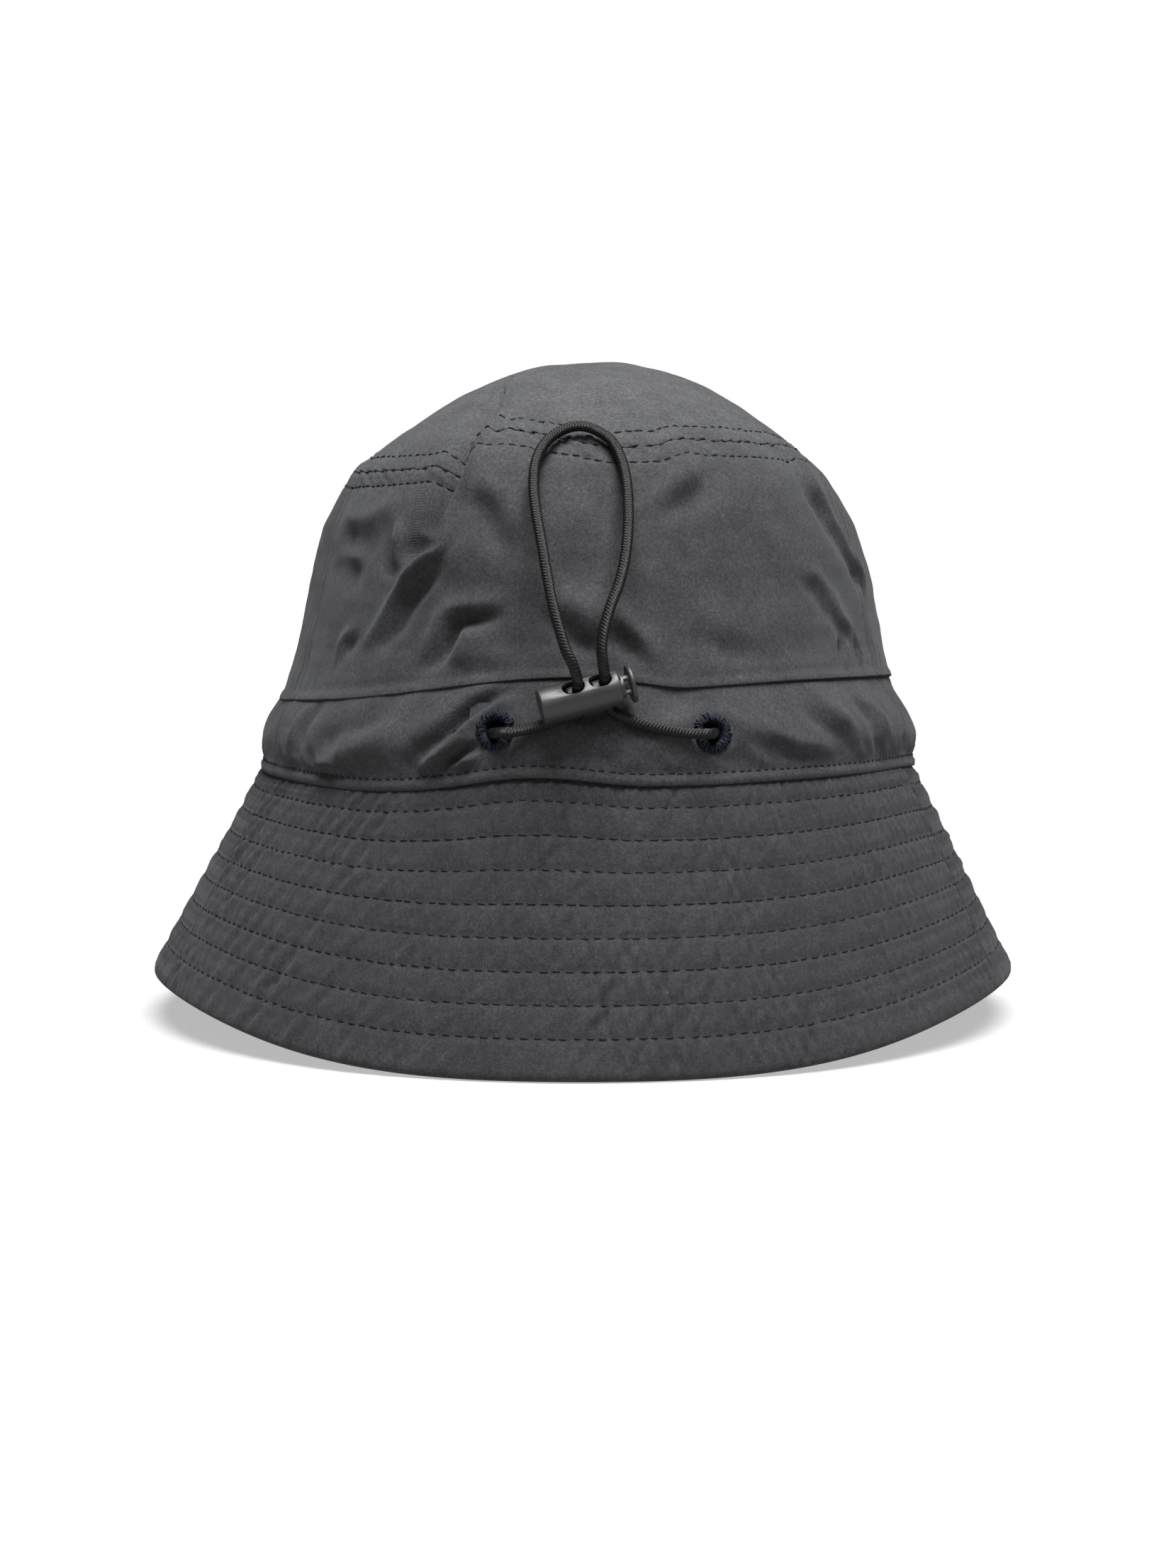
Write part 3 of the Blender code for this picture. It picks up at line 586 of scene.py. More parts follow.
def fan_to(row, hub, verts):
    """Triangles from a closed row of points to the hub, facing up."""
    fan = np.stack([row, np.roll(row, -1), np.full(len(row), hub)], 1)
    corner = verts[fan[0]]
    facing = np.cross(corner[1] - corner[0], corner[2] - corner[0])
    return fan[:, ::-1] if facing[2] < 0 else fan


def cloth(name, surface, lift, grid, thickness, material, node,
          closed=False, centre=False, holes=(), depth=0.0):
    """One layer of cloth with an outer and an inner face, closed by a rim at every border.

    grid is the angles, the places and each point's distance to the border, where the cloth is
    rounded over, all of them (rows, columns). closed joins the last column to the first, and
    centre fills the last row's ring. holes are (centre, radius) pairs.
    """
    angles, places, edge = grid
    base, normal = surface(angles, places), normals(surface, angles, places)
    height = lift(angles, places) - depth
    inside = np.clip(1.0 - edge / (thickness / 2), 0.0, 1.0)
    drop = thickness / 2 * (1.0 - np.sqrt(1.0 - inside**2))
    keep = np.ones(angles.shape, bool)
    for middle, radius in holes:
        gap = base - middle
        far = np.linalg.norm(gap, axis=-1)
        keep &= far >= radius
        on_rim = middle + gap * (radius / np.maximum(far, 0.05))[..., None]
        base = np.where((far < radius)[..., None], on_rim, base)
    outer = settle(base + normal * (height - drop)[..., None])
    inner = settle(base + normal * (height - thickness + drop)[..., None])
    uv = flat_places(outer, planar=centre)

    rows, columns = angles.shape
    total = rows * columns
    ids = np.arange(total).reshape(rows, columns)
    uv_ids = np.arange(rows * (columns + 1)).reshape(rows, columns + 1)
    right = np.roll(ids, -1, axis=1) if closed else ids[:, 1:]
    left = ids if closed else ids[:, :-1]
    uv_left = uv_ids[:, :-1] if closed else uv_ids[:, :-2]
    uv_right = uv_ids[:, 1:] if closed else uv_ids[:, 1:-1]

    def quads(a, b):
        return np.stack([a[:-1], b[:-1], b[1:], a[1:]], -1).reshape(-1, 4)

    faces, uv_faces = quads(left, right), quads(uv_left, uv_right)
    kept = keep.ravel()[faces].any(1)
    faces, uv_faces = faces[kept], uv_faces[kept]
    corner = outer.reshape(-1, 3)[faces[:200]]
    facing = np.cross(corner[:, 1] - corner[:, 0], corner[:, 3] - corner[:, 0]).sum(0)
    if facing @ normal.reshape(-1, 3)[faces[:200, 0]].sum(0) < 0:
        faces, uv_faces = faces[:, ::-1], uv_faces[:, ::-1]

    sides, uv_sides = sides_of(faces), sides_of(uv_faces)
    code = sides.min(1) * (2 * total) + sides.max(1)
    _, first, uses = np.unique(code, return_index=True, return_counts=True)
    rim = first[uses == 1]
    if centre:
        rim = rim[~np.isin(sides[rim], ids[-1]).all(1)]
    a, b = sides[rim].T
    uv_a, uv_b = uv_sides[rim].T
    all_faces = [faces, (faces + total)[:, ::-1], np.stack([b, a, a + total, b + total], 1)]
    all_uvs = [uv_faces, uv_faces[:, ::-1], np.stack([uv_b, uv_a, uv_a, uv_b], 1)]
    verts = np.concatenate([outer.reshape(-1, 3), inner.reshape(-1, 3)])
    if centre:
        verts = np.concatenate([verts, outer[-1].mean(0)[None], inner[-1].mean(0)[None]])
        hub, uv_hub = 2 * total, len(uv)
        uv = np.concatenate([uv, [[0.0, 0.0]]])
        fan = fan_to(ids[-1], hub, verts)
        all_faces += [fan, np.where(fan == hub, hub + 1, fan + total)[:, ::-1]]
        uv_of = np.append(np.zeros(total, int), uv_hub)
        uv_of[ids[-1]] = uv_ids[-1, :-1]
        uv_fan = np.where(fan == hub, uv_hub, uv_of[np.minimum(fan, total)])
        all_uvs += [uv_fan, uv_fan[:, ::-1]]
    used = np.unique(np.concatenate([f.ravel() for f in all_faces]))
    new_id = np.zeros(len(verts), int)
    new_id[used] = np.arange(len(used))
    mesh = new_mesh(name, verts[used], [new_id[f] for f in all_faces], uv, all_uvs)
    return piece(name, mesh, material, nodes=[node])


def panel_span(side, clear=SEAM_CLEAR):
    """The first and last angle of a panel, each that far short of the side seam's middle."""
    if side == "back":
        return math.pi + SIDE_SEAM + clear, 2 * math.pi - SIDE_SEAM - clear
    return -SIDE_SEAM + clear, math.pi + SIDE_SEAM - clear


def patch_grid(span, low, high, across, up, rounding=SHELL / 2):
    """Angles, places and distances to the border, over a patch of a surface.

    low and high give the place of its two borders; across and up are (count, length) pairs.
    """
    share, side_edge = graded(*across, rounding)
    rise, end_edge = graded(*up, rounding)
    angles = np.broadcast_to(span[0] + (span[1] - span[0]) * share, (len(rise), len(share))).copy()
    bottom, top = low(angles), high(angles)
    places = bottom + (top - bottom) * rise[:, None]
    return angles, places, np.minimum(end_edge[:, None], side_edge[None, :])


def panel_grid(side, low, high, length, pitch, clear=SEAM_CLEAR):
    """A grid over the back or front panel."""
    span = panel_span(side, clear)
    width = (span[1] - span[0]) * 100.0
    return patch_grid(span, low, high, (round(width / pitch), width), (round(length / pitch), length))


def brim_grid(side, low, high, pitch, clear=SEAM_CLEAR):
    return panel_grid(side, level(low), level(high), BRIM_LENGTH * (high - low), pitch, clear)


def round_grid(rows, columns):
    """Angles all the way round, the same in every row."""
    return np.broadcast_to(np.arange(columns) * 2 * math.pi / columns, (rows, columns)).copy()


def ring_grid(low, high, length, pitch, columns, rounding=SHELL / 2):
    up, up_edge = graded(max(2, round(length / pitch)), length, rounding)
    angles = round_grid(len(up), columns)
    bottom, top = low(angles), high(angles)
    return angles, bottom + (top - bottom) * up[:, None], up_edge[:, None] + 0 * angles


def level(value):
    """The same place all the way round."""
    return lambda angle: value + 0 * angle


# ---- strands: stitches, thread loops ---------------------------------------------------------
def tube_faces(ids):
    """The quads round one or more tubes. ids are (..., rings, sides)."""
    beside = np.roll(ids, -1, axis=-1)
    corners = [ids[..., :-1, :], beside[..., :-1, :], beside[..., 1:, :], ids[..., 1:, :]]
    return np.stack(corners, -1).reshape(-1, 4)


def strands(name, paths, reference, radii, material, body="hat", nodes=(), sides=6):
    """Many short threads in one piece. paths is (threads, points, 3), reference their normals."""
    count, length, _ = paths.shape
    tangent = unit(np.gradient(paths, axis=1))
    side = unit(np.cross(tangent, reference[:, None, :]))
    up = np.cross(side, tangent)
    turn = np.arange(sides) * 2 * math.pi / sides
    ring = (side[:, :, None] * np.cos(turn)[:, None] + up[:, :, None] * np.sin(turn)[:, None])
    verts = (paths[:, :, None] + ring * radii[None, :, None, None]).reshape(-1, 3)
    ids = np.arange(count * length * sides).reshape(count, length, sides)
    ends = [ids[:, 0, ::-1].reshape(-1, sides), ids[:, -1].reshape(-1, sides)]
    along = np.cumsum(np.linalg.norm(np.diff(paths, axis=1, prepend=paths[:, :1]), axis=-1), 1)
    uv = np.stack(np.broadcast_arrays(along[:, :, None] + np.arange(count)[:, None, None] * 0.7,
                                      (turn * radii.max())[None, None, :]), -1).reshape(-1, 2)
    mesh = new_mesh(name, verts, [tube_faces(ids)] + ends, uv)
    return piece(name, mesh, material, body, nodes)


def face_at(surface, lift, angle, place, depth=0.0):
    """Points and normals on a cloth's face, or that deep below it."""
    point, normal = surface(angle, place), normals(surface, angle, place)
    return settle(point + normal * (lift(angle, place) - depth)[..., None]), normal


def stitch_row(surface, lift, span, place, pitch, length, seed, depth=0.0, rise=0.10):
    """The paths of one row of stitches, each a short thread that dives into the cloth at its ends."""
    dense = np.linspace(span[0], span[1], 1500)
    line, _ = face_at(surface, lift, dense, place(dense), depth)
    reach = reach_along(line)
    number = int(reach[-1] / pitch)
    draw = np.random.default_rng(seed)
    middle = (np.arange(number) + 0.5) * reach[-1] / number + draw.uniform(-0.10, 0.10, number) * pitch
    half = 0.5 * length * draw.uniform(0.88, 1.08, number)
    shares = np.array((-1.0, -0.86, -0.5, 0.0, 0.5, 0.86, 1.0))
    stations = np.interp(middle[:, None] + half[:, None] * shares, reach, dense)
    points, normal = face_at(surface, lift, stations, place(stations), depth)
    centre_normal = normal[:, 3]
    dive = rise - 0.34 * np.abs(shares) ** 3
    slip = draw.uniform(-0.10, 0.10, (number, 1)) + draw.uniform(-0.09, 0.09, (number, 1)) * shares
    tangent = points[:, -1] - points[:, 0]
    sideways = unit(np.cross(centre_normal, tangent))
    paths = (points + centre_normal[:, None] * dive[None, :, None]
             + sideways[:, None] * slip[..., None])
    return paths, centre_normal


FULL_TURN = (0.0, 2 * math.pi)
STITCH_RADII = np.array((0.35, 0.75, 1.0, 1.0, 1.0, 0.75, 0.35)) * 0.27


def stitches(name, rows):
    """One piece from rows of stitch paths and the normals under them."""
    paths = np.concatenate([row[0] for row in rows])
    reference = np.concatenate([row[1] for row in rows])
    return strands(name, paths, reference, STITCH_RADII, thread)


# ---- materials -------------------------------------------------------------------------------
# The crown's colour is painted paler between these heights: painted light for its brighter top.
PAINTED_TOP_LIGHT_HEIGHTS = (0.126, 0.160)      # in metres; the crown gets paler between these heights


class Nodes:
    """A material's node tree with short ways to add what the finishes share."""

    def __init__(self, name):
        self.material = bpy.data.materials.new(name)
        self.material.use_nodes = True
        self.tree = self.material.node_tree
        self.shader = self.tree.nodes["Principled BSDF"]
        self.coordinates = self.add("ShaderNodeTexCoord")

    def add(self, kind, **settings):
        node = self.tree.nodes.new(kind)
        for key, value in settings.items():
            setattr(node, key, value)
        return node

    def link(self, source, target):
        self.tree.links.new(source, target)

    def put(self, target, value):
        if isinstance(value, (int, float, tuple)):
            target.default_value = value
        else:
            self.link(value, target)

    def set(self, **values):
        for key, value in values.items():
            self.put(self.shader.inputs[key.replace("_", " ").title().replace("Ior", "IOR")], value)

    def scaled(self, where, scale, turn=0.0):
        node = self.add("ShaderNodeMapping")
        node.inputs["Scale"].default_value = scale if isinstance(scale, tuple) else (scale,) * 3
        node.inputs["Rotation"].default_value[2] = turn
        self.link(self.coordinates.outputs[where], node.inputs["Vector"])
        return node.outputs["Vector"]

    def noise(self, size, detail=3.0):
        """Soft noise whose grains are about that many millimetres across."""
        node = self.add("ShaderNodeTexNoise")
        node.inputs["Scale"].default_value = 1.0 / (size * MM)
        node.inputs["Detail"].default_value = detail
        self.link(self.coordinates.outputs["Object"], node.inputs["Vector"])
        return node.outputs["Fac"]

    def bands(self, pitch, turn=0.0, distortion=0.0):
        """Parallel threads at that pitch in millimetres, along the cloth's own UV."""
        node = self.add("ShaderNodeTexWave")
        node.inputs["Scale"].default_value = 1.0
        node.inputs["Distortion"].default_value = distortion
        node.inputs["Detail"].default_value = 1.0
        self.link(self.scaled("UV", 0.31416 / (pitch * MM), turn), node.inputs["Vector"])
        return node.outputs["Fac"]

    def math(self, operation, a, b=0.0):
        node = self.add("ShaderNodeMath", operation=operation)
        self.put(node.inputs[0], a)
        self.put(node.inputs[1], b)
        return node.outputs[0]

    def between(self, value, low, high, start=0.3, end=0.7):
        """Maps value from start..end to low..high."""
        node = self.add("ShaderNodeMapRange")
        self.link(value, node.inputs["Value"])
        for key, number in zip(("From Min", "From Max", "To Min", "To Max"), (start, end, low, high)):
            node.inputs[key].default_value = number
        return node.outputs["Result"]

    def shaded(self, colour, *factors):
        """A colour made lighter and darker by each factor."""
        result = self.add("ShaderNodeRGB").outputs[0]
        result.default_value = (*colour, 1.0)
        for factor in factors:
            node = self.add("ShaderNodeVectorMath", operation="SCALE")
            self.link(result, node.inputs[0])
            self.put(node.inputs["Scale"], factor)
            result = node.outputs[0]
        return result

    def mixed(self, factor, a, b):
        node = self.add("ShaderNodeMix", data_type="RGBA")
        self.put(node.inputs["Factor"], factor)
        self.put(node.inputs[6], a)
        self.put(node.inputs[7], b)
        return node.outputs[2]

    def bump(self, *layers):
        """Each layer is (height value, depth in millimetres)."""
        normal = None
        for value, depth in layers:
            node = self.add("ShaderNodeBump")
            node.inputs["Strength"].default_value = 1.0
            node.inputs["Distance"].default_value = depth * MM
            self.link(value, node.inputs["Height"])
            if normal is not None:
                self.link(normal, node.inputs["Normal"])
            normal = node.outputs["Normal"]
        self.link(normal, self.shader.inputs["Normal"])


def make_cloth_material(name, colour, sheen=0.3, weave=0.45, depth=0.05, lint=0.3, painted_top_light=1.0):
    """A brushed twill: fine slanting ribs, a peach-skin nap, faint mottling and a little lint.

    The last argument is how many times paler the colour is painted at the top of the crown: painted
    light, for the top that catches more light.
    """
    n = Nodes(name)
    ribs = n.bands(weave, math.radians(38), 0.6)
    cross = n.bands(weave * 0.8, math.radians(128), 0.5)
    nap = n.noise(0.35, 2.0)
    speckle = n.noise(0.9, 2.0)
    mottle = n.noise(7.0, 3.0)
    cloud = n.noise(38.0, 2.0)
    position = n.add("ShaderNodeSeparateXYZ")
    n.link(n.coordinates.outputs["Object"], position.inputs[0])
    # The last factor paints the crown paler towards its top: painted light.
    tone = n.shaded(colour, n.between(nap, 0.66, 1.34), n.between(speckle, 0.72, 1.28),
                    n.between(mottle, 0.86, 1.14), n.between(cloud, 0.93, 1.07),
                    n.between(ribs, 0.93, 1.07, 0.0, 1.0),
                    n.between(position.outputs["Z"], 1.0, painted_top_light, *PAINTED_TOP_LIGHT_HEIGHTS))
    cells = n.add("ShaderNodeTexVoronoi")
    cells.inputs["Scale"].default_value = 210.0
    n.link(n.coordinates.outputs["Object"], cells.inputs["Vector"])
    parted = n.add("ShaderNodeSeparateColor")
    n.link(cells.outputs["Color"], parted.inputs["Color"])
    speck = n.math("MULTIPLY", n.between(cells.outputs["Distance"], 1.0, 0.0, 0.018, 0.034),
                   n.math("GREATER_THAN", parted.outputs[0], 0.72))
    tone = n.mixed(n.math("MULTIPLY", speck, lint), tone, (0.5, 0.5, 0.48, 1.0))
    n.set(base_color=tone, roughness=n.between(speckle, 0.78, 0.92), specular_ior_level=0.15,
          sheen_weight=sheen, sheen_roughness=0.5, sheen_tint=(0.93, 0.95, 1.0, 1.0))
    n.bump((ribs, depth), (cross, depth * 0.5), (nap, 0.05), (speckle, 0.06), (mottle, 0.12))
    return n.material


def make_thread_material(name, colour):
    """Spun polyester thread: two plies twisting round each other, with a dull shine."""
    n = Nodes(name)
    twist = n.bands(0.34, math.radians(35))
    fuzz = n.noise(0.12, 2.0)
    n.set(base_color=n.shaded(colour, n.between(twist, 0.7, 1.3, 0.0, 1.0), n.between(fuzz, 0.75, 1.3)),
          roughness=0.55, specular_ior_level=0.2)
    n.bump((twist, 0.06), (fuzz, 0.05))
    return n.material


def make_cord_material(name, colour):
    """The elastic's knitted cover, its colour painted lighter on the ribs' crests and darker between
    them: painted highlight and shade.
    """
    n = Nodes(name)
    slope = math.atan2(RIB_STARTS / (2 * math.pi * CORD_RADIUS), 1.0 / RIB_PITCH)
    ribs = n.bands(RIB_PITCH * math.cos(slope), -slope)
    yarn = n.bands(0.16, math.radians(60), 0.5)
    nap = n.noise(0.16, 2.0)
    # Painted highlight on the rib crests and painted shade in the grooves.
    n.set(base_color=n.shaded(colour, n.between(ribs, 1.9, 0.4, 0.0, 1.0), n.between(nap, 0.6, 1.5),
                              n.between(yarn, 0.8, 1.25, 0.0, 1.0)),
          roughness=n.between(ribs, 0.22, 0.5, 0.0, 1.0), specular_ior_level=0.24)
    n.bump((yarn, 0.03), (nap, 0.03))
    return n.material


def make_plastic_material(name, colour):
    """Moulded black acetal: fine spark-eroded grain with a satin shine, lighter along its sharp edges."""
    n = Nodes(name)
    grain = n.noise(0.14, 3.0)
    flow = n.noise(3.0, 2.0)
    geometry = n.add("ShaderNodeNewGeometry")
    # Sharp edges, found by their pointiness, get a lighter colour.
    edge_lightening = n.between(geometry.outputs["Pointiness"], 0.0, 1.0, 0.53, 0.62)
    tone = n.shaded(colour, n.between(grain, 0.85, 1.2), n.between(flow, 0.93, 1.07))
    n.set(base_color=n.mixed(n.math("MULTIPLY", edge_lightening, 0.35), tone, (0.12, 0.12, 0.12, 1.0)),
          roughness=n.between(grain, 0.38, 0.52), specular_ior_level=0.5)
    n.bump((grain, 0.02), (flow, 0.03))
    return n.material


def make_steel_material(name, colour):
    n = Nodes(name)
    drawn = n.noise(0.2, 3.0)
    n.set(base_color=n.shaded(colour, n.between(drawn, 0.85, 1.1)), metallic=1.0,
          roughness=n.between(drawn, 0.18, 0.34))
    n.bump((drawn, 0.01))
    return n.material


def make_label_material(name, colour):
    """A woven satin label: long floats in one direction."""
    n = Nodes(name)
    floats = n.bands(0.28, math.radians(90), 0.3)
    nap = n.noise(0.5, 2.0)
    n.set(base_color=n.shaded(colour, n.between(floats, 0.9, 1.05, 0.0, 1.0), n.between(nap, 0.94, 1.05)),
          roughness=n.between(nap, 0.45, 0.6), sheen_weight=0.2)
    n.bump((floats, 0.05), (nap, 0.03))
    return n.material


# The crown's twill is painted paler towards its top: painted light.
shell_cloth = make_cloth_material("charcoal_twill", (0.0316, 0.0319, 0.0338), sheen=0.06, painted_top_light=1.72)
# The brim's and the casing's twill are darker copies of the crown's twill: painted shade.
brim_cloth = make_cloth_material("brim_twill", (0.0236, 0.0236, 0.0255), sheen=0.05)
casing_cloth = make_cloth_material("casing_twill", (0.0308, 0.0311, 0.0332), sheen=0.05)
lining_cloth = make_cloth_material("lining_twill", (0.045, 0.046, 0.049), sheen=0.08)
tape_cloth = make_cloth_material("bias_tape", (0.030, 0.031, 0.035), sheen=0.15, weave=0.3, lint=0.0)
stiffener_cloth = make_cloth_material("stiffener", (0.05, 0.05, 0.053), sheen=0.0, weave=0.8, lint=0.0)
thread = make_thread_material("blue_black_thread", (0.006, 0.0075, 0.015))
cord_cover = make_cord_material("elastic_cover", (0.0035, 0.0035, 0.004))
plastic = make_plastic_material("black_acetal", (0.018, 0.018, 0.019))
steel = make_steel_material("spring_steel", (0.75, 0.74, 0.72))
label_cloth = make_label_material("woven_label", (0.66, 0.66, 0.64))


# ---- camera ----------------------------------------------------------------------------------
def make_camera():
    data = bpy.data.cameras.new("camera")
    data.sensor_width = 36.0
    data.lens = 54.26
    data.clip_start = 0.01
    item = linked("camera", data)
    item.location = (0.0, -0.650, 0.097)
    item.rotation_euler = (math.radians(90.0 - 3.31), 0.0, 0.0)
    bpy.context.scene.camera = item


make_camera()


# ---- cords -----------------------------------------------------------------------------------
# The cord's route where it shows, in metres. Each list runs in the cord's own direction.
EXIT_LEFT = (
    (-0.0270, -0.0960, 0.0770), (-0.0245, -0.0971, 0.0770), (-0.0230, -0.0984, 0.0770),
    (-0.0220, -0.1009, 0.0770), (-0.0216, -0.1030, 0.0771), (-0.0209, -0.1045, 0.0773),
    (-0.0198, -0.1053, 0.0774), (-0.0184, -0.1055, 0.0774),
)
LEAD_LEFT = (
    (-0.0180, -0.1055, 0.0774), (-0.0142, -0.1053, 0.0781), (-0.0096, -0.1048, 0.0794),
    (-0.0054, -0.1044, 0.0808), (-0.0027, -0.1043, 0.0817), (-0.0017, -0.1052, 0.0827),
    (-0.0020, -0.1082, 0.0856), (-0.0024, -0.1117, 0.0889),
)
LOOP = (
    (-0.0024, -0.11215, 0.08935), (-0.0025, -0.1130, 0.0902), (-0.0034, -0.1137, 0.0930),
    (-0.0052, -0.1133, 0.0968), (-0.0078, -0.1102, 0.1056), (-0.0095, -0.1060, 0.1140),
    (-0.0109, -0.1012, 0.1220), (-0.0123, -0.0959, 0.1297), (-0.0128, -0.0911, 0.1360),
    (-0.0122, -0.0866, 0.1414), (-0.0099, -0.0824, 0.1460), (-0.0061, -0.0795, 0.1490),
    (-0.0022, -0.0786, 0.1500), (0.0018, -0.0794, 0.1490), (0.0057, -0.0822, 0.1460),
    (0.0080, -0.0863, 0.1412), (0.0091, -0.0910, 0.1356), (0.0094, -0.0962, 0.1289),
    (0.0091, -0.1010, 0.1222), (0.0083, -0.1048, 0.1163), (0.0069, -0.1077, 0.1110),
    (0.0051, -0.1101, 0.1063), (0.0036, -0.1121, 0.1010), (0.0031, -0.1130, 0.0970),
    (0.0033, -0.1130, 0.0940), (0.0036, -0.1124, 0.0922), (0.0037, -0.1116, 0.09125),
)
LEAD_RIGHT = (
    (0.0037, -0.1112, 0.0908), (0.0041, -0.1074, 0.0872), (0.0045, -0.1044, 0.0843),
    (0.0056, -0.1039, 0.0826), (0.0080, -0.1042, 0.0811), (0.0120, -0.1044, 0.0796),
    (0.0170, -0.1040, 0.0782), (0.0220, -0.1033, 0.0773), (0.0258, -0.1030, 0.0770),
)
EXIT_RIGHT = (
    (0.0262, -0.1030, 0.0770), (0.0276, -0.1028, 0.0770), (0.0287, -0.1020, 0.0770),
    (0.0292, -0.1003, 0.0770), (0.0295, -0.0981, 0.0770), (0.0302, -0.0955, 0.0770),
    (0.0315, -0.0941, 0.0770), (0.0340, -0.0927, 0.0770),
)


def cord_tube(name, path, ribbed, nodes, sides=18):
    """A covered elastic cord along path, in millimetres. ribbed is a share for each point."""
    tangent = unit(np.gradient(path, axis=0))
    side = np.cross(tangent[0], (0.0, 0.3, 1.0))
    sides_along = []
    for direction in tangent:
        side = unit(side - direction * (side @ direction))
        sides_along.append(side)
    side = np.array(sides_along)
    up = np.cross(tangent, side)
    reach = reach_along(path)
    turn = np.arange(sides) * 2 * math.pi / sides
    phase = reach[:, None] / RIB_PITCH * 2 * math.pi + turn * RIB_STARTS
    uneven = 1.0 + 0.07 * np.sin(reach[:, None] * 1.7 + 3.0 * turn)
    ribs = 0.12 * ribbed[:, None] * uneven * (0.5 + 0.5 * np.cos(phase)) ** 0.7
    radius = CORD_RADIUS * (0.93 + ribs)
    end = np.minimum(reach, reach[-1] - reach)[:, None]
    radius = radius * np.sqrt(1 - 0.35 * np.clip(1 - end / 0.4, 0, 1) ** 2)
    verts = (path[:, None] + radius[..., None] * (side[:, None] * np.cos(turn)[:, None]
                                                  + up[:, None] * np.sin(turn)[:, None]))
    ids = np.arange(len(path) * sides).reshape(len(path), sides)
    uv_ids = np.arange(len(path) * (sides + 1)).reshape(len(path), sides + 1)
    uv_quads = np.stack([uv_ids[:-1, :-1], uv_ids[:-1, 1:], uv_ids[1:, 1:], uv_ids[1:, :-1]],
                        -1).reshape(-1, 4)
    full_turn = np.arange(sides + 1) * 2 * math.pi / sides * CORD_RADIUS
    uv = np.stack(np.broadcast_arrays(reach[:, None], full_turn[None, :]), -1).reshape(-1, 2)
    caps = [ids[:1, ::-1], ids[-1:]]
    cap_uvs = [uv_ids[:1, -2::-1], uv_ids[-1:, :-1]]
    mesh = new_mesh(name, verts.reshape(-1, 3), [tube_faces(ids)] + caps, uv, [uv_quads] + cap_uvs)
    return piece(name, mesh, cord_cover, body=None, nodes=nodes)


def cord_path(route, before=0.0, after=0.0):
    """The route as close points in millimetres, run on a little at its ends."""
    points = through(np.array(route) / MM, 0.10)
    if before:
        points = np.vstack([points[0] - (points[1] - points[0]) / 0.1 * before, points])
    if after:
        points = np.vstack([points, points[-1] + (points[-1] - points[-2]) / 0.1 * after])
    return resampled(points, 0.085)


def channel_path():
    """Inside the casing, from the left eyelet round the front to the right one."""
    first, last = [math.atan2(y / MM / (SEAM_HALF_WIDTH + OVAL_EXTRA), x / MM / SEAM_HALF_WIDTH)
                   for x, y, _ in (EXIT_LEFT[0], EXIT_RIGHT[-1])]
    angles = np.linspace(first + 2 * math.pi - 0.11, last + 0.11, 55)
    height = np.full_like(angles, EYELET_HEIGHT)
    return wall(angles, height) - normals(wall, angles, height) * CHANNEL_DEPTH


def make_cords():
    """The two leads, the loop and the hidden run, as tubes along their routes; the hidden run is attached
    to the hat.
    """
    ribbed = np.ones(1)
    lead_left = cord_tube("lead_left", cord_path(LEAD_LEFT, before=0.8), ribbed, ["cord_lead_left"])
    lead_right = cord_tube("lead_right", cord_path(LEAD_RIGHT, after=0.8), ribbed, ["cord_lead_right"])
    loop_path = cord_path(LOOP, before=0.6, after=0.6)
    loop = cord_tube("drawcord_loop", loop_path, ribbed, ["cord_loop"])
    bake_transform(lead_left)
    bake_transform(lead_right)
    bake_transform(loop)
    hidden = channel_path()
    ends = (through(np.array(EXIT_LEFT[::-1]) / MM, 0.2), through(np.array(EXIT_RIGHT[::-1]) / MM, 0.2))
    middle = through(np.vstack([ends[0][-1:], hidden, ends[1][:1]]), 2.0)[1:-1]
    path = np.vstack([ends[0], middle, ends[1]])
    ribbed = np.concatenate([np.ones(len(ends[0])), np.zeros(len(middle)), np.ones(len(ends[1]))])
    run = cord_tube("drawcord_in_casing", path, ribbed, ["cord_channel_run"])
    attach(run, "hat")
    return lead_left, lead_right, loop, loop_path


# ---- crown, casing, brim ---------------------------------------------------------------------
def off_tip_seam(offset):
    """The place that far above the tip seam, at any angle."""
    return lambda angle: tip_seam_place(angle) + offset / PLACE_LENGTH


def make_crown():
    """The two halves of the side, and the tip as rings that close in on its centre."""
    for side, pitch in (("back", 0.85), ("front", 1.35)):
        angles, places, edge = panel_grid(side, lip_place, off_tip_seam(-TIP_SEAM_GAP),
                                          CROWN_SIDE * 1.25, pitch)
        cloth("crown_side_" + side, crown, crown_lift, (angles, places, 2 * edge), SHELL, shell_cloth,
              "crown_%s_panel" % side)
    share = np.append((0.0, 0.0006, 0.0016, 0.003, 0.005), np.linspace(0.009, 1.0, 62))[:, None]
    angles = round_grid(len(share), 440)
    start = off_tip_seam(TIP_SEAM_GAP)(angles)
    grid = angles, start + (LAST_RING - start) * share, share * TIP_LENGTH + 0 * angles
    cloth("crown_top", crown, crown_lift, grid, SHELL, shell_cloth, "crown_tip",
          closed=True, centre=True)


def make_crown_stitching():
    rows = [stitch_row(crown, crown_lift, FULL_TURN, off_tip_seam(offset), 2.9, 2.35, seed)
            for seed, offset in enumerate(TIP_STITCHES, 1)]
    rows.append(stitch_row(crown, crown_lift, FULL_TURN, tip_seam_place, 3.4, 1.5, 3, rise=0.15))
    stitches("tip_seam_stitches", rows)


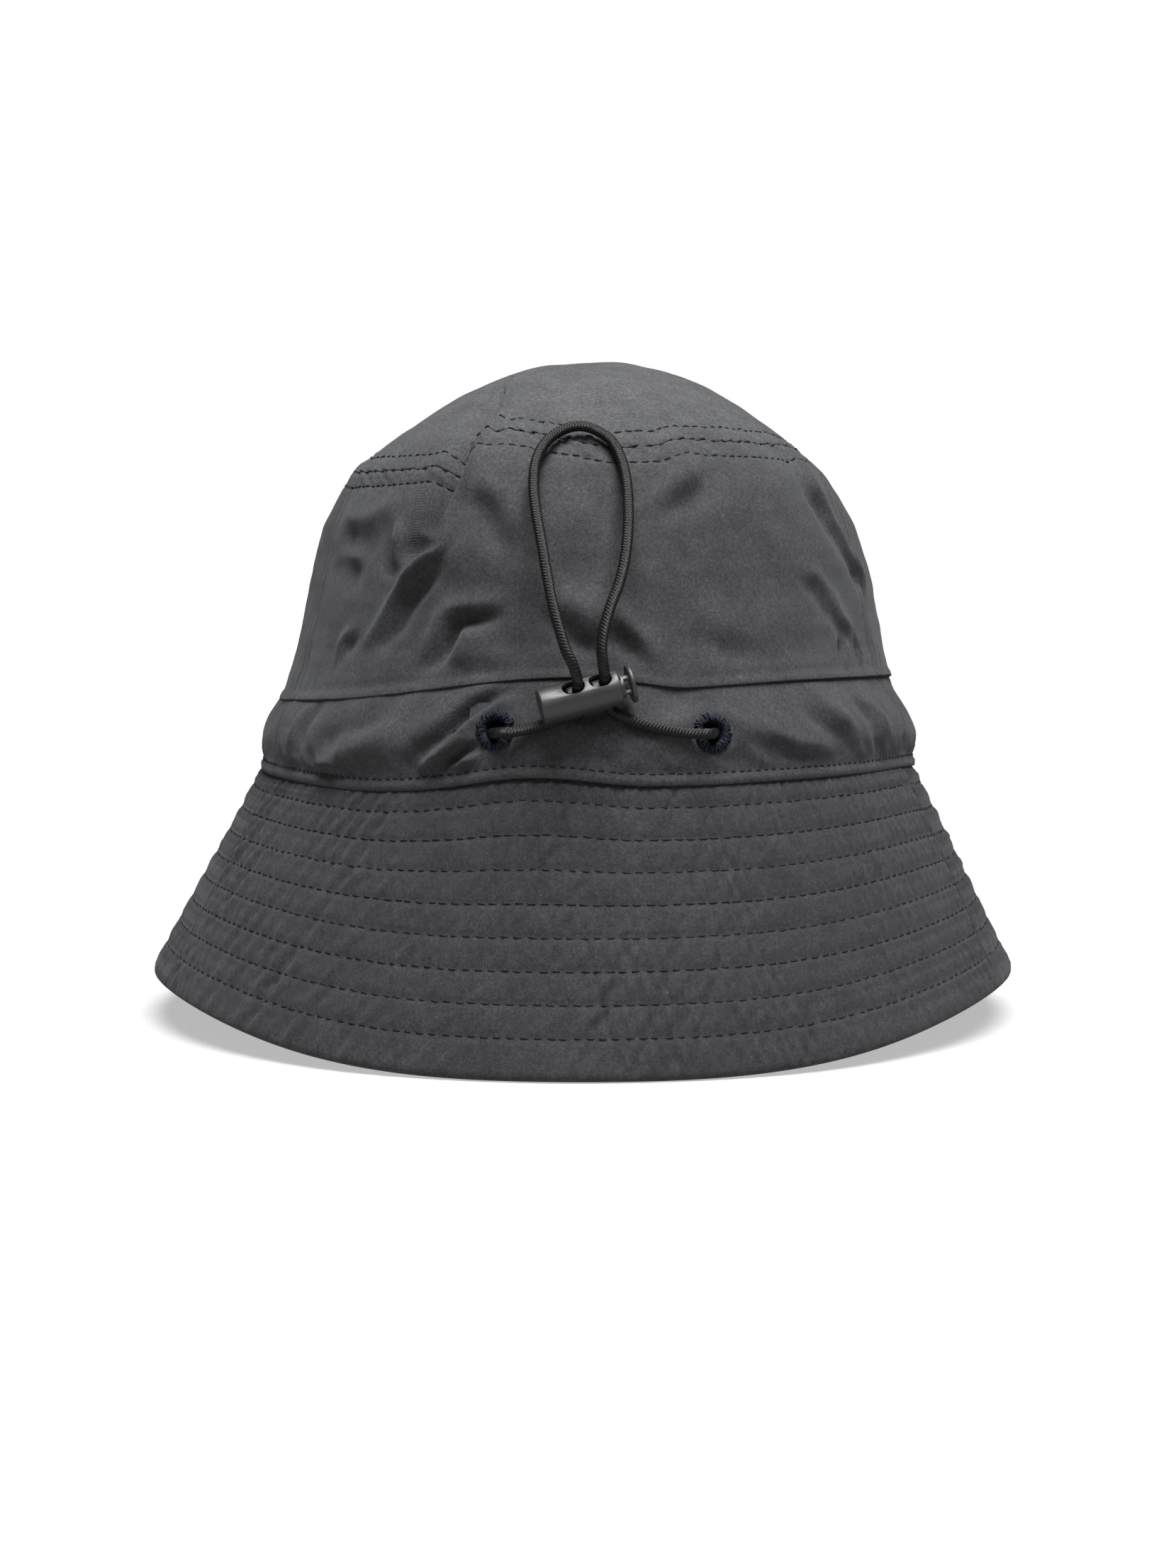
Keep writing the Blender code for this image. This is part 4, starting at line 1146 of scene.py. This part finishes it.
def make_casing():
    """Both halves of the drawcord tunnel, the back one with its two holes, and its stitching."""
    holes = [(eyelet_centre(side), EYELET_HOLE) for side in EYELET_X]
    for side, pitch in (("back", 0.75), ("front", 1.3)):
        cloth("casing_cloth_" + side, wall, casing_lift,
              panel_grid(side, level(-0.2), level(26.5), 26.7, pitch), SHELL, casing_cloth,
              "casing_" + side, holes=holes if side == "back" else ())
    rows = [stitch_row(wall, casing_lift, panel_span(side), level(CASING_STITCH), 2.3, 1.9, seed)
            for seed, side in enumerate(("back", "front"), 5)]
    stitches("casing_stitches", rows)


def make_brim():
    """Upper cloth, stiffener and lower cloth, and the rows of stitches on both faces."""
    under_face = 2 * SHELL + 2 * GAP + STIFFENER
    faces = (("", brim_lift, 40, 0.0, 0.10), ("under_", under_lift, 60, under_face, -0.10))
    for side, pitch in (("back", 0.8), ("front", 1.25)):
        cloth("brim_top_" + side, brim, brim_lift, brim_grid(side, -BRIM_TUCK, 1.0, pitch), SHELL,
              brim_cloth, "brim_upper_" + side)
        cloth("brim_stiffener_" + side, brim, flat_lift,
              brim_grid(side, INNER_START, STIFFENER_END, 2.4, -SEAM_OVERLAP), STIFFENER,
              stiffener_cloth, "brim_interlining_" + side, depth=SHELL + GAP)
        cloth("brim_underside_" + side, brim, under_lift,
              brim_grid(side, INNER_START, UNDERSIDE_END, 1.4, -SEAM_OVERLAP), SHELL, lining_cloth,
              "brim_under_" + side, depth=under_face - SHELL)
        for name, lift, seed, depth, rise in faces:
            rows = [stitch_row(brim, lift, panel_span(side), level(row), 3.05, 2.5, seed + k, depth, rise)
                    for k, row in enumerate(BRIM_ROWS)]
            stitches("brim_stitches_" + name + side, rows)


def make_inside():
    """Sweatband and tapes."""
    cloth("head_band", wall, band_lift, ring_grid(level(0.3), level(26.0), 25.7, 1.6, 330), 0.8,
          lining_cloth, "sweatband", closed=True, depth=4.7)
    rows = [stitch_row(wall, band_lift, FULL_TURN, level(height), 3.0, 2.4, seed, depth=5.5, rise=-0.10)
            for seed, height in enumerate((2.2, 24.2), 70)]
    stitches("head_band_stitches", rows)
    rounding, half = TAPE / 2, TAPE_WIDTH / 2
    cloth("tip_tape", crown, crown_lift,
          ring_grid(off_tip_seam(-half), off_tip_seam(half), TAPE_WIDTH, 1.0, 360, rounding), TAPE,
          tape_cloth, "tip_seam_tape", closed=True, depth=1.0)
    for side, seam in (("left", math.pi + SIDE_SEAM), ("right", 2 * math.pi - SIDE_SEAM)):
        swing = half / SEAM_HALF_WIDTH
        top = level(off_tip_seam(-half - 1.0)(np.array(seam)))
        grid = patch_grid((seam - swing, seam + swing), level(0.07), top, (8, TAPE_WIDTH), (52, 54.0),
                          rounding)
        cloth("side_tape_" + side, crown, crown_lift, grid, TAPE, tape_cloth,
              "side_seam_tape_" + side, depth=1.2)


# ---- eyelets ---------------------------------------------------------------------------------
EYELET_STITCHES = 118
EYELET_INNER = 2.45
EYELET_OUTER = 4.45
CORE_RING_RADIUS = 3.35
CORE_SECTION = (0.78, 0.62)     # half the padding's width and height


def make_eyelets():
    """Each eyelet is worked over with thread: a ring of close radial stitches on a padded core."""
    for seed, (side, x) in enumerate(EYELET_X.items(), 80):
        height = np.array(EYELET_HEIGHT)
        angle = 2 * math.pi - np.arccos(x / half_width_at(height))
        centre, normal = face_at(wall, casing_lift, angle, height)
        across = unit(np.cross((0.0, 0.0, 1.0), normal))
        up = np.cross(normal, across)
        count = EYELET_STITCHES
        draw = np.random.default_rng(seed)
        turn = (np.arange(count) + draw.uniform(-0.4, 0.4, count)) * 2 * math.pi * 2 / count
        lean = draw.uniform(-0.22, 0.22, count)
        outer = EYELET_OUTER + draw.uniform(-0.75, 0.45, count)
        share = np.linspace(0, 1, 9)
        bend = np.sin(math.pi * share)
        reach = EYELET_INNER + (outer[:, None] - EYELET_INNER) * (0.5 - 0.5 * np.cos(math.pi * share))
        rise = -0.9 + 0.95 * share + (1.2 + draw.uniform(-0.25, 0.35, count)[:, None]) * bend
        swing = turn[:, None] + lean[:, None] * (share - 0.5) * 2
        radial = across * np.cos(swing)[..., None] + up * np.sin(swing)[..., None]
        paths = centre + radial * reach[..., None] + normal * rise[..., None]
        reference = -across * np.sin(turn)[:, None] + up * np.cos(turn)[:, None]
        ring = strands("eyelet_thread_" + side, paths, np.cross(reference, normal) + normal * 0.3,
                       np.full(9, 0.21), thread, nodes=["eyelet_" + side])
        join_mesh(ring, padding(centre, across, up, normal))


def padding(centre, across, up, normal, segments=48, sides=10):
    """The core under an eyelet's stitches, as verts and faces in millimetres."""
    angles = np.linspace(0, 2 * math.pi, segments, endpoint=False)
    section = np.arange(sides) * 2 * math.pi / sides
    reach = CORE_RING_RADIUS + CORE_SECTION[0] * np.cos(section)
    rise = 0.05 + CORE_SECTION[1] * np.sin(section)
    radial = across * np.cos(angles)[:, None] + up * np.sin(angles)[:, None]
    verts = (centre + radial[:, None] * reach[:, None] + normal * rise[:, None]).reshape(-1, 3)
    ids = np.arange(segments * sides).reshape(segments, sides)
    after, beside = np.roll(ids, -1, axis=0), np.roll(ids, -1, axis=1)
    both = np.roll(after, -1, axis=1)
    return verts, np.stack([ids, after, both, beside], -1).reshape(-1, 4)


def join_mesh(item, part):
    """Adds verts and faces, in millimetres, to a piece."""
    verts, faces = part
    work = bmesh.new()
    work.from_mesh(item.data)
    made = [work.verts.new(Vector(v) * MM) for v in verts]
    for face in faces:
        work.faces.new([made[i] for i in face]).smooth = True
    work.to_mesh(item.data)
    work.free()


# ---- cord lock -------------------------------------------------------------------------------
def lock_frame():
    """Local X is the barrel's axis, towards the plunger; local Z is the way the cords run."""
    matrix = Matrix.Translation(LOCK_CENTRE * MM)
    for degrees, axis in LOCK_TURNS:
        matrix = matrix @ Matrix.Rotation(math.radians(degrees), 4, axis)
    return matrix


def turned_mesh(profile, segments):
    """Turns a closed loop of (x, radius) points, in millimetres, about local X."""
    work = bmesh.new()
    turns = [2 * math.pi * k / segments for k in range(segments)]
    rings = []
    for x, radius in profile:
        if radius < 1e-6:
            rings.append([work.verts.new((x * MM, 0, 0))] * segments)
        else:
            rings.append([work.verts.new((x * MM, radius * MM * math.cos(t), radius * MM * math.sin(t)))
                          for t in turns])
    for first, second in zip(rings, rings[1:] + rings[:1]):
        for k in range(segments):
            j = (k + 1) % segments
            corners = list(dict.fromkeys((first[k], first[j], second[j], second[k])))
            if len(corners) > 2:
                work.faces.new(corners)
    bmesh.ops.recalc_face_normals(work, faces=work.faces)
    return finished(work, "turned")


def rounded(x, radius, size, degrees, count):
    """Points on a quarter circle of a profile, round (x, radius)."""
    return [(x + size * math.cos(t), radius + size * math.sin(t))
            for t in np.radians(np.linspace(*degrees, count))]


def stadium_cutter(name, start, end, width):
    """A prism with round ends along local Z."""
    half, centre = width / 2, (start + end) / 2
    straight = (end - start) / 2 - half
    outline = []
    for side, first in ((1, -math.pi / 2), (-1, math.pi / 2)):
        for k in range(33):
            turn = first + math.pi * k / 32
            outline.append((centre + side * straight + half * math.cos(turn), half * math.sin(turn)))
    work = bmesh.new()
    face = work.faces.new([work.verts.new((x * MM, y * MM, -7 * MM)) for x, y in outline])
    grown = bmesh.ops.extrude_face_region(work, geom=[face])
    moved = [v for v in grown["geom"] if isinstance(v, bmesh.types.BMVert)]
    bmesh.ops.translate(work, vec=(0, 0, 14 * MM), verts=moved)
    bmesh.ops.recalc_face_normals(work, faces=work.faces)
    return bpy.data.objects.new(name, finished(work, name))


def box_object(name, low, high):
    """A block between two corners in millimetres, not yet in the scene."""
    work = bmesh.new()
    bmesh.ops.create_cube(work, size=1.0)
    for vert in work.verts:
        vert.co = Vector([(low[k] if vert.co[k] < 0 else high[k]) * MM for k in range(3)])
    return bpy.data.objects.new(name, finished(work, name))


def combined(mesh, others, operation, softened=False):
    """The mesh with each other object cut off it or added to it; softened rounds its edges."""
    item = linked("work", mesh)
    for other in others:
        bpy.context.scene.collection.objects.link(other)
        modifier = item.modifiers.new("combine", "BOOLEAN")
        modifier.operation = operation
        modifier.object = other
    if softened:
        bevel = item.modifiers.new("soft_edges", "BEVEL")
        bevel.width = 0.16 * MM
        bevel.segments = 2
        bevel.limit_method = "ANGLE"
        bevel.angle_limit = math.radians(38)
    result = bpy.data.meshes.new_from_object(item.evaluated_get(bpy.context.evaluated_depsgraph_get()))
    for used in [item] + list(others):
        bpy.data.objects.remove(used)
    return result


def finish_lock_piece(name, mesh, body, nodes):
    """Moves a mesh made in the lock's own axes to its place and gives it its plastic."""
    mesh.transform(lock_frame())
    mesh.shade_smooth()
    mesh.set_sharp_from_angle(angle=math.radians(32))
    return piece(name, mesh, plastic, body, nodes)


def make_barrel():
    """A tube closed at its left end, with a slot for each cord across it."""
    left, right, size, wall_end = -BARREL_HALF, BARREL_HALF, 0.5, 1.0 - BARREL_HALF
    corner = BARREL_RADIUS - size
    profile = [(left, 0.0)]
    profile += rounded(left + size, corner, size, (180, 90), 6)
    profile += rounded(right - size, corner, size, (90, 0), 6)
    profile += [(right, BORE_RADIUS + 0.15), (right - 0.15, BORE_RADIUS), (wall_end, BORE_RADIUS),
                (wall_end, 0.0)]
    cutters = []
    for i, station in enumerate(CORD_STATIONS):
        end = station + CORD_RADIUS + GAP + 0.05
        cutters.append(stadium_cutter("slot_%d" % i, end - SLOT_LENGTH, end, SLOT_WIDTH))
    mesh = combined(turned_mesh(profile, 96), cutters, "DIFFERENCE", softened=True)
    return finish_lock_piece("lock_barrel", mesh, "lock", ["cord_lock_barrel"])


def make_plunger():
    """A hollow rod with a ribbed neck and a thumb flange; the cord passes through its windows."""
    left = CORD_STATIONS[0] - CORD_RADIUS - GAP - PLUNGER_END
    window = 2 * (CORD_RADIUS + GAP) + PLUNGER_TRAVEL
    shoulder = CORD_STATIONS[1] - CORD_RADIUS - GAP + window + 0.5
    start, end = FLANGE_START, FLANGE_START + 1.0
    profile = [(left, 0.0), (left, PLUNGER_RADIUS - 0.3), (left + 0.3, PLUNGER_RADIUS),
               (shoulder, PLUNGER_RADIUS), (shoulder + 0.3, NECK_RADIUS), (start, NECK_RADIUS),
               (start, FLANGE_RADIUS - 0.2)]
    profile += [((start + end) / 2 - 0.5 * math.cos(t), FLANGE_RADIUS - 0.28 + 0.28 * math.sin(t))
                for t in np.radians(np.linspace(20, 160, 8))]
    profile += [(end - 0.05, FLANGE_RADIUS - 0.9), (end - 0.2, 2.2), (end - 0.2, 0.0)]
    thick, wide = NECK_RIB
    ribs = [box_object("rib_a", (shoulder - 0.5, -thick, -wide), (start + 0.3, thick, wide)),
            box_object("rib_b", (shoulder - 0.5, -wide, -thick), (start + 0.3, wide, thick))]
    ribbed = combined(turned_mesh(profile, 72), ribs, "UNION")
    cutters = []
    for i, station in enumerate(CORD_STATIONS):
        begin = station - CORD_RADIUS - GAP
        cutters.append(stadium_cutter("window_%d" % i, begin, begin + window, WINDOW_WIDTH))
    mesh = combined(ribbed, cutters, "DIFFERENCE", softened=True)
    return finish_lock_piece("lock_plunger", mesh, "plunger", ["cord_lock_plunger"])


def make_spring():
    """A coil between the barrel's closed end and the plunger."""
    start = -BARREL_HALF + 1.0 + GAP + SPRING_WIRE
    end = CORD_STATIONS[0] - CORD_RADIUS - GAP - PLUNGER_END - GAP - SPRING_WIRE
    count = round(SPRING_TURNS * 28)
    turn = np.arange(count + 1) * 2 * math.pi / 28
    share = np.arange(count + 1) / count
    local = np.stack([start + (end - start) * share, SPRING_RADIUS * np.cos(turn),
                      SPRING_RADIUS * np.sin(turn)], 1)
    place = np.array(lock_frame())
    rotation, centre = place[:3, :3], place[:3, 3] / MM
    item = strands("lock_spring", (local @ rotation.T + centre)[None], rotation[:, 0][None],
                   np.full(count + 1, SPRING_WIRE), steel, None,
                   ["cord_lock_spring"], sides=10)
    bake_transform(item)
    return item


# ---- light and floor -------------------------------------------------------------------------
def light(name, kind, aim, **settings):
    """A light that shines along aim."""
    data = bpy.data.lights.new(name, kind)
    for key, value in settings.items():
        setattr(data, key, value)
    item = linked(name, data)
    item.rotation_euler = Vector(aim).to_track_quat("-Z", "Y").to_euler()
    return item


def make_floor():
    """A pale table that glows a little, which keeps its shadow soft and light."""
    work = bmesh.new()
    bmesh.ops.create_circle(work, cap_ends=True, segments=128, radius=0.42)
    floor = linked("floor", finished(work, "floor"))
    floor.location.z = -0.0010
    n = Nodes("pale_paper")
    n.set(base_color=n.shaded((0.20, 0.20, 0.20), n.between(n.noise(60.0), 0.995, 1.005)),
          roughness=0.9, specular_ior_level=0.1, emission_color=(1.0, 1.0, 1.0, 1.0),
          emission_strength=0.47)
    floor.data.materials.append(n.material)


def make_light():
    """A large soft light overhead, a weaker one in front, and a white room that gives little."""
    world = bpy.data.worlds.new("studio")
    bpy.context.scene.world = world
    world.use_nodes = True
    tree = world.node_tree
    background = tree.nodes["Background"]
    background.inputs["Color"].default_value = (1.0, 1.0, 1.0, 1.0)
    path = tree.nodes.new("ShaderNodeLightPath")
    strength = tree.nodes.new("ShaderNodeMapRange")
    strength.inputs["To Min"].default_value = 0.11
    strength.inputs["To Max"].default_value = 1.0
    tree.links.new(path.outputs["Is Camera Ray"], strength.inputs["Value"])
    tree.links.new(strength.outputs["Result"], background.inputs["Strength"])
    light("overhead", "SUN", (-0.10, 0.34, -1.0), energy=8.8, angle=math.radians(38))
    place = Vector((0.25, -1.4, 1.1))
    front = light("front", "AREA", Vector((0.0, 0.0, 0.08)) - place, energy=5.0, shape="RECTANGLE",
                  size=0.7, size_y=0.7)
    front.location = place
    bpy.context.scene.view_settings.view_transform = "Standard"


# ---- build -----------------------------------------------------------------------------------
cords = make_cords()
make_crown()
make_crown_stitching()
make_casing()
make_brim()
make_inside()
make_eyelets()
make_barrel()
make_plunger()
make_spring()

KEPT = {"eyelet_backing_left": tape_cloth, "eyelet_backing_right": tape_cloth,
        "size_label": label_cloth}
for node_name, material in KEPT.items():
    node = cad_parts[node_name]
    node.data.materials.clear()
    node.data.materials.append(material)

make_floor()
make_light()
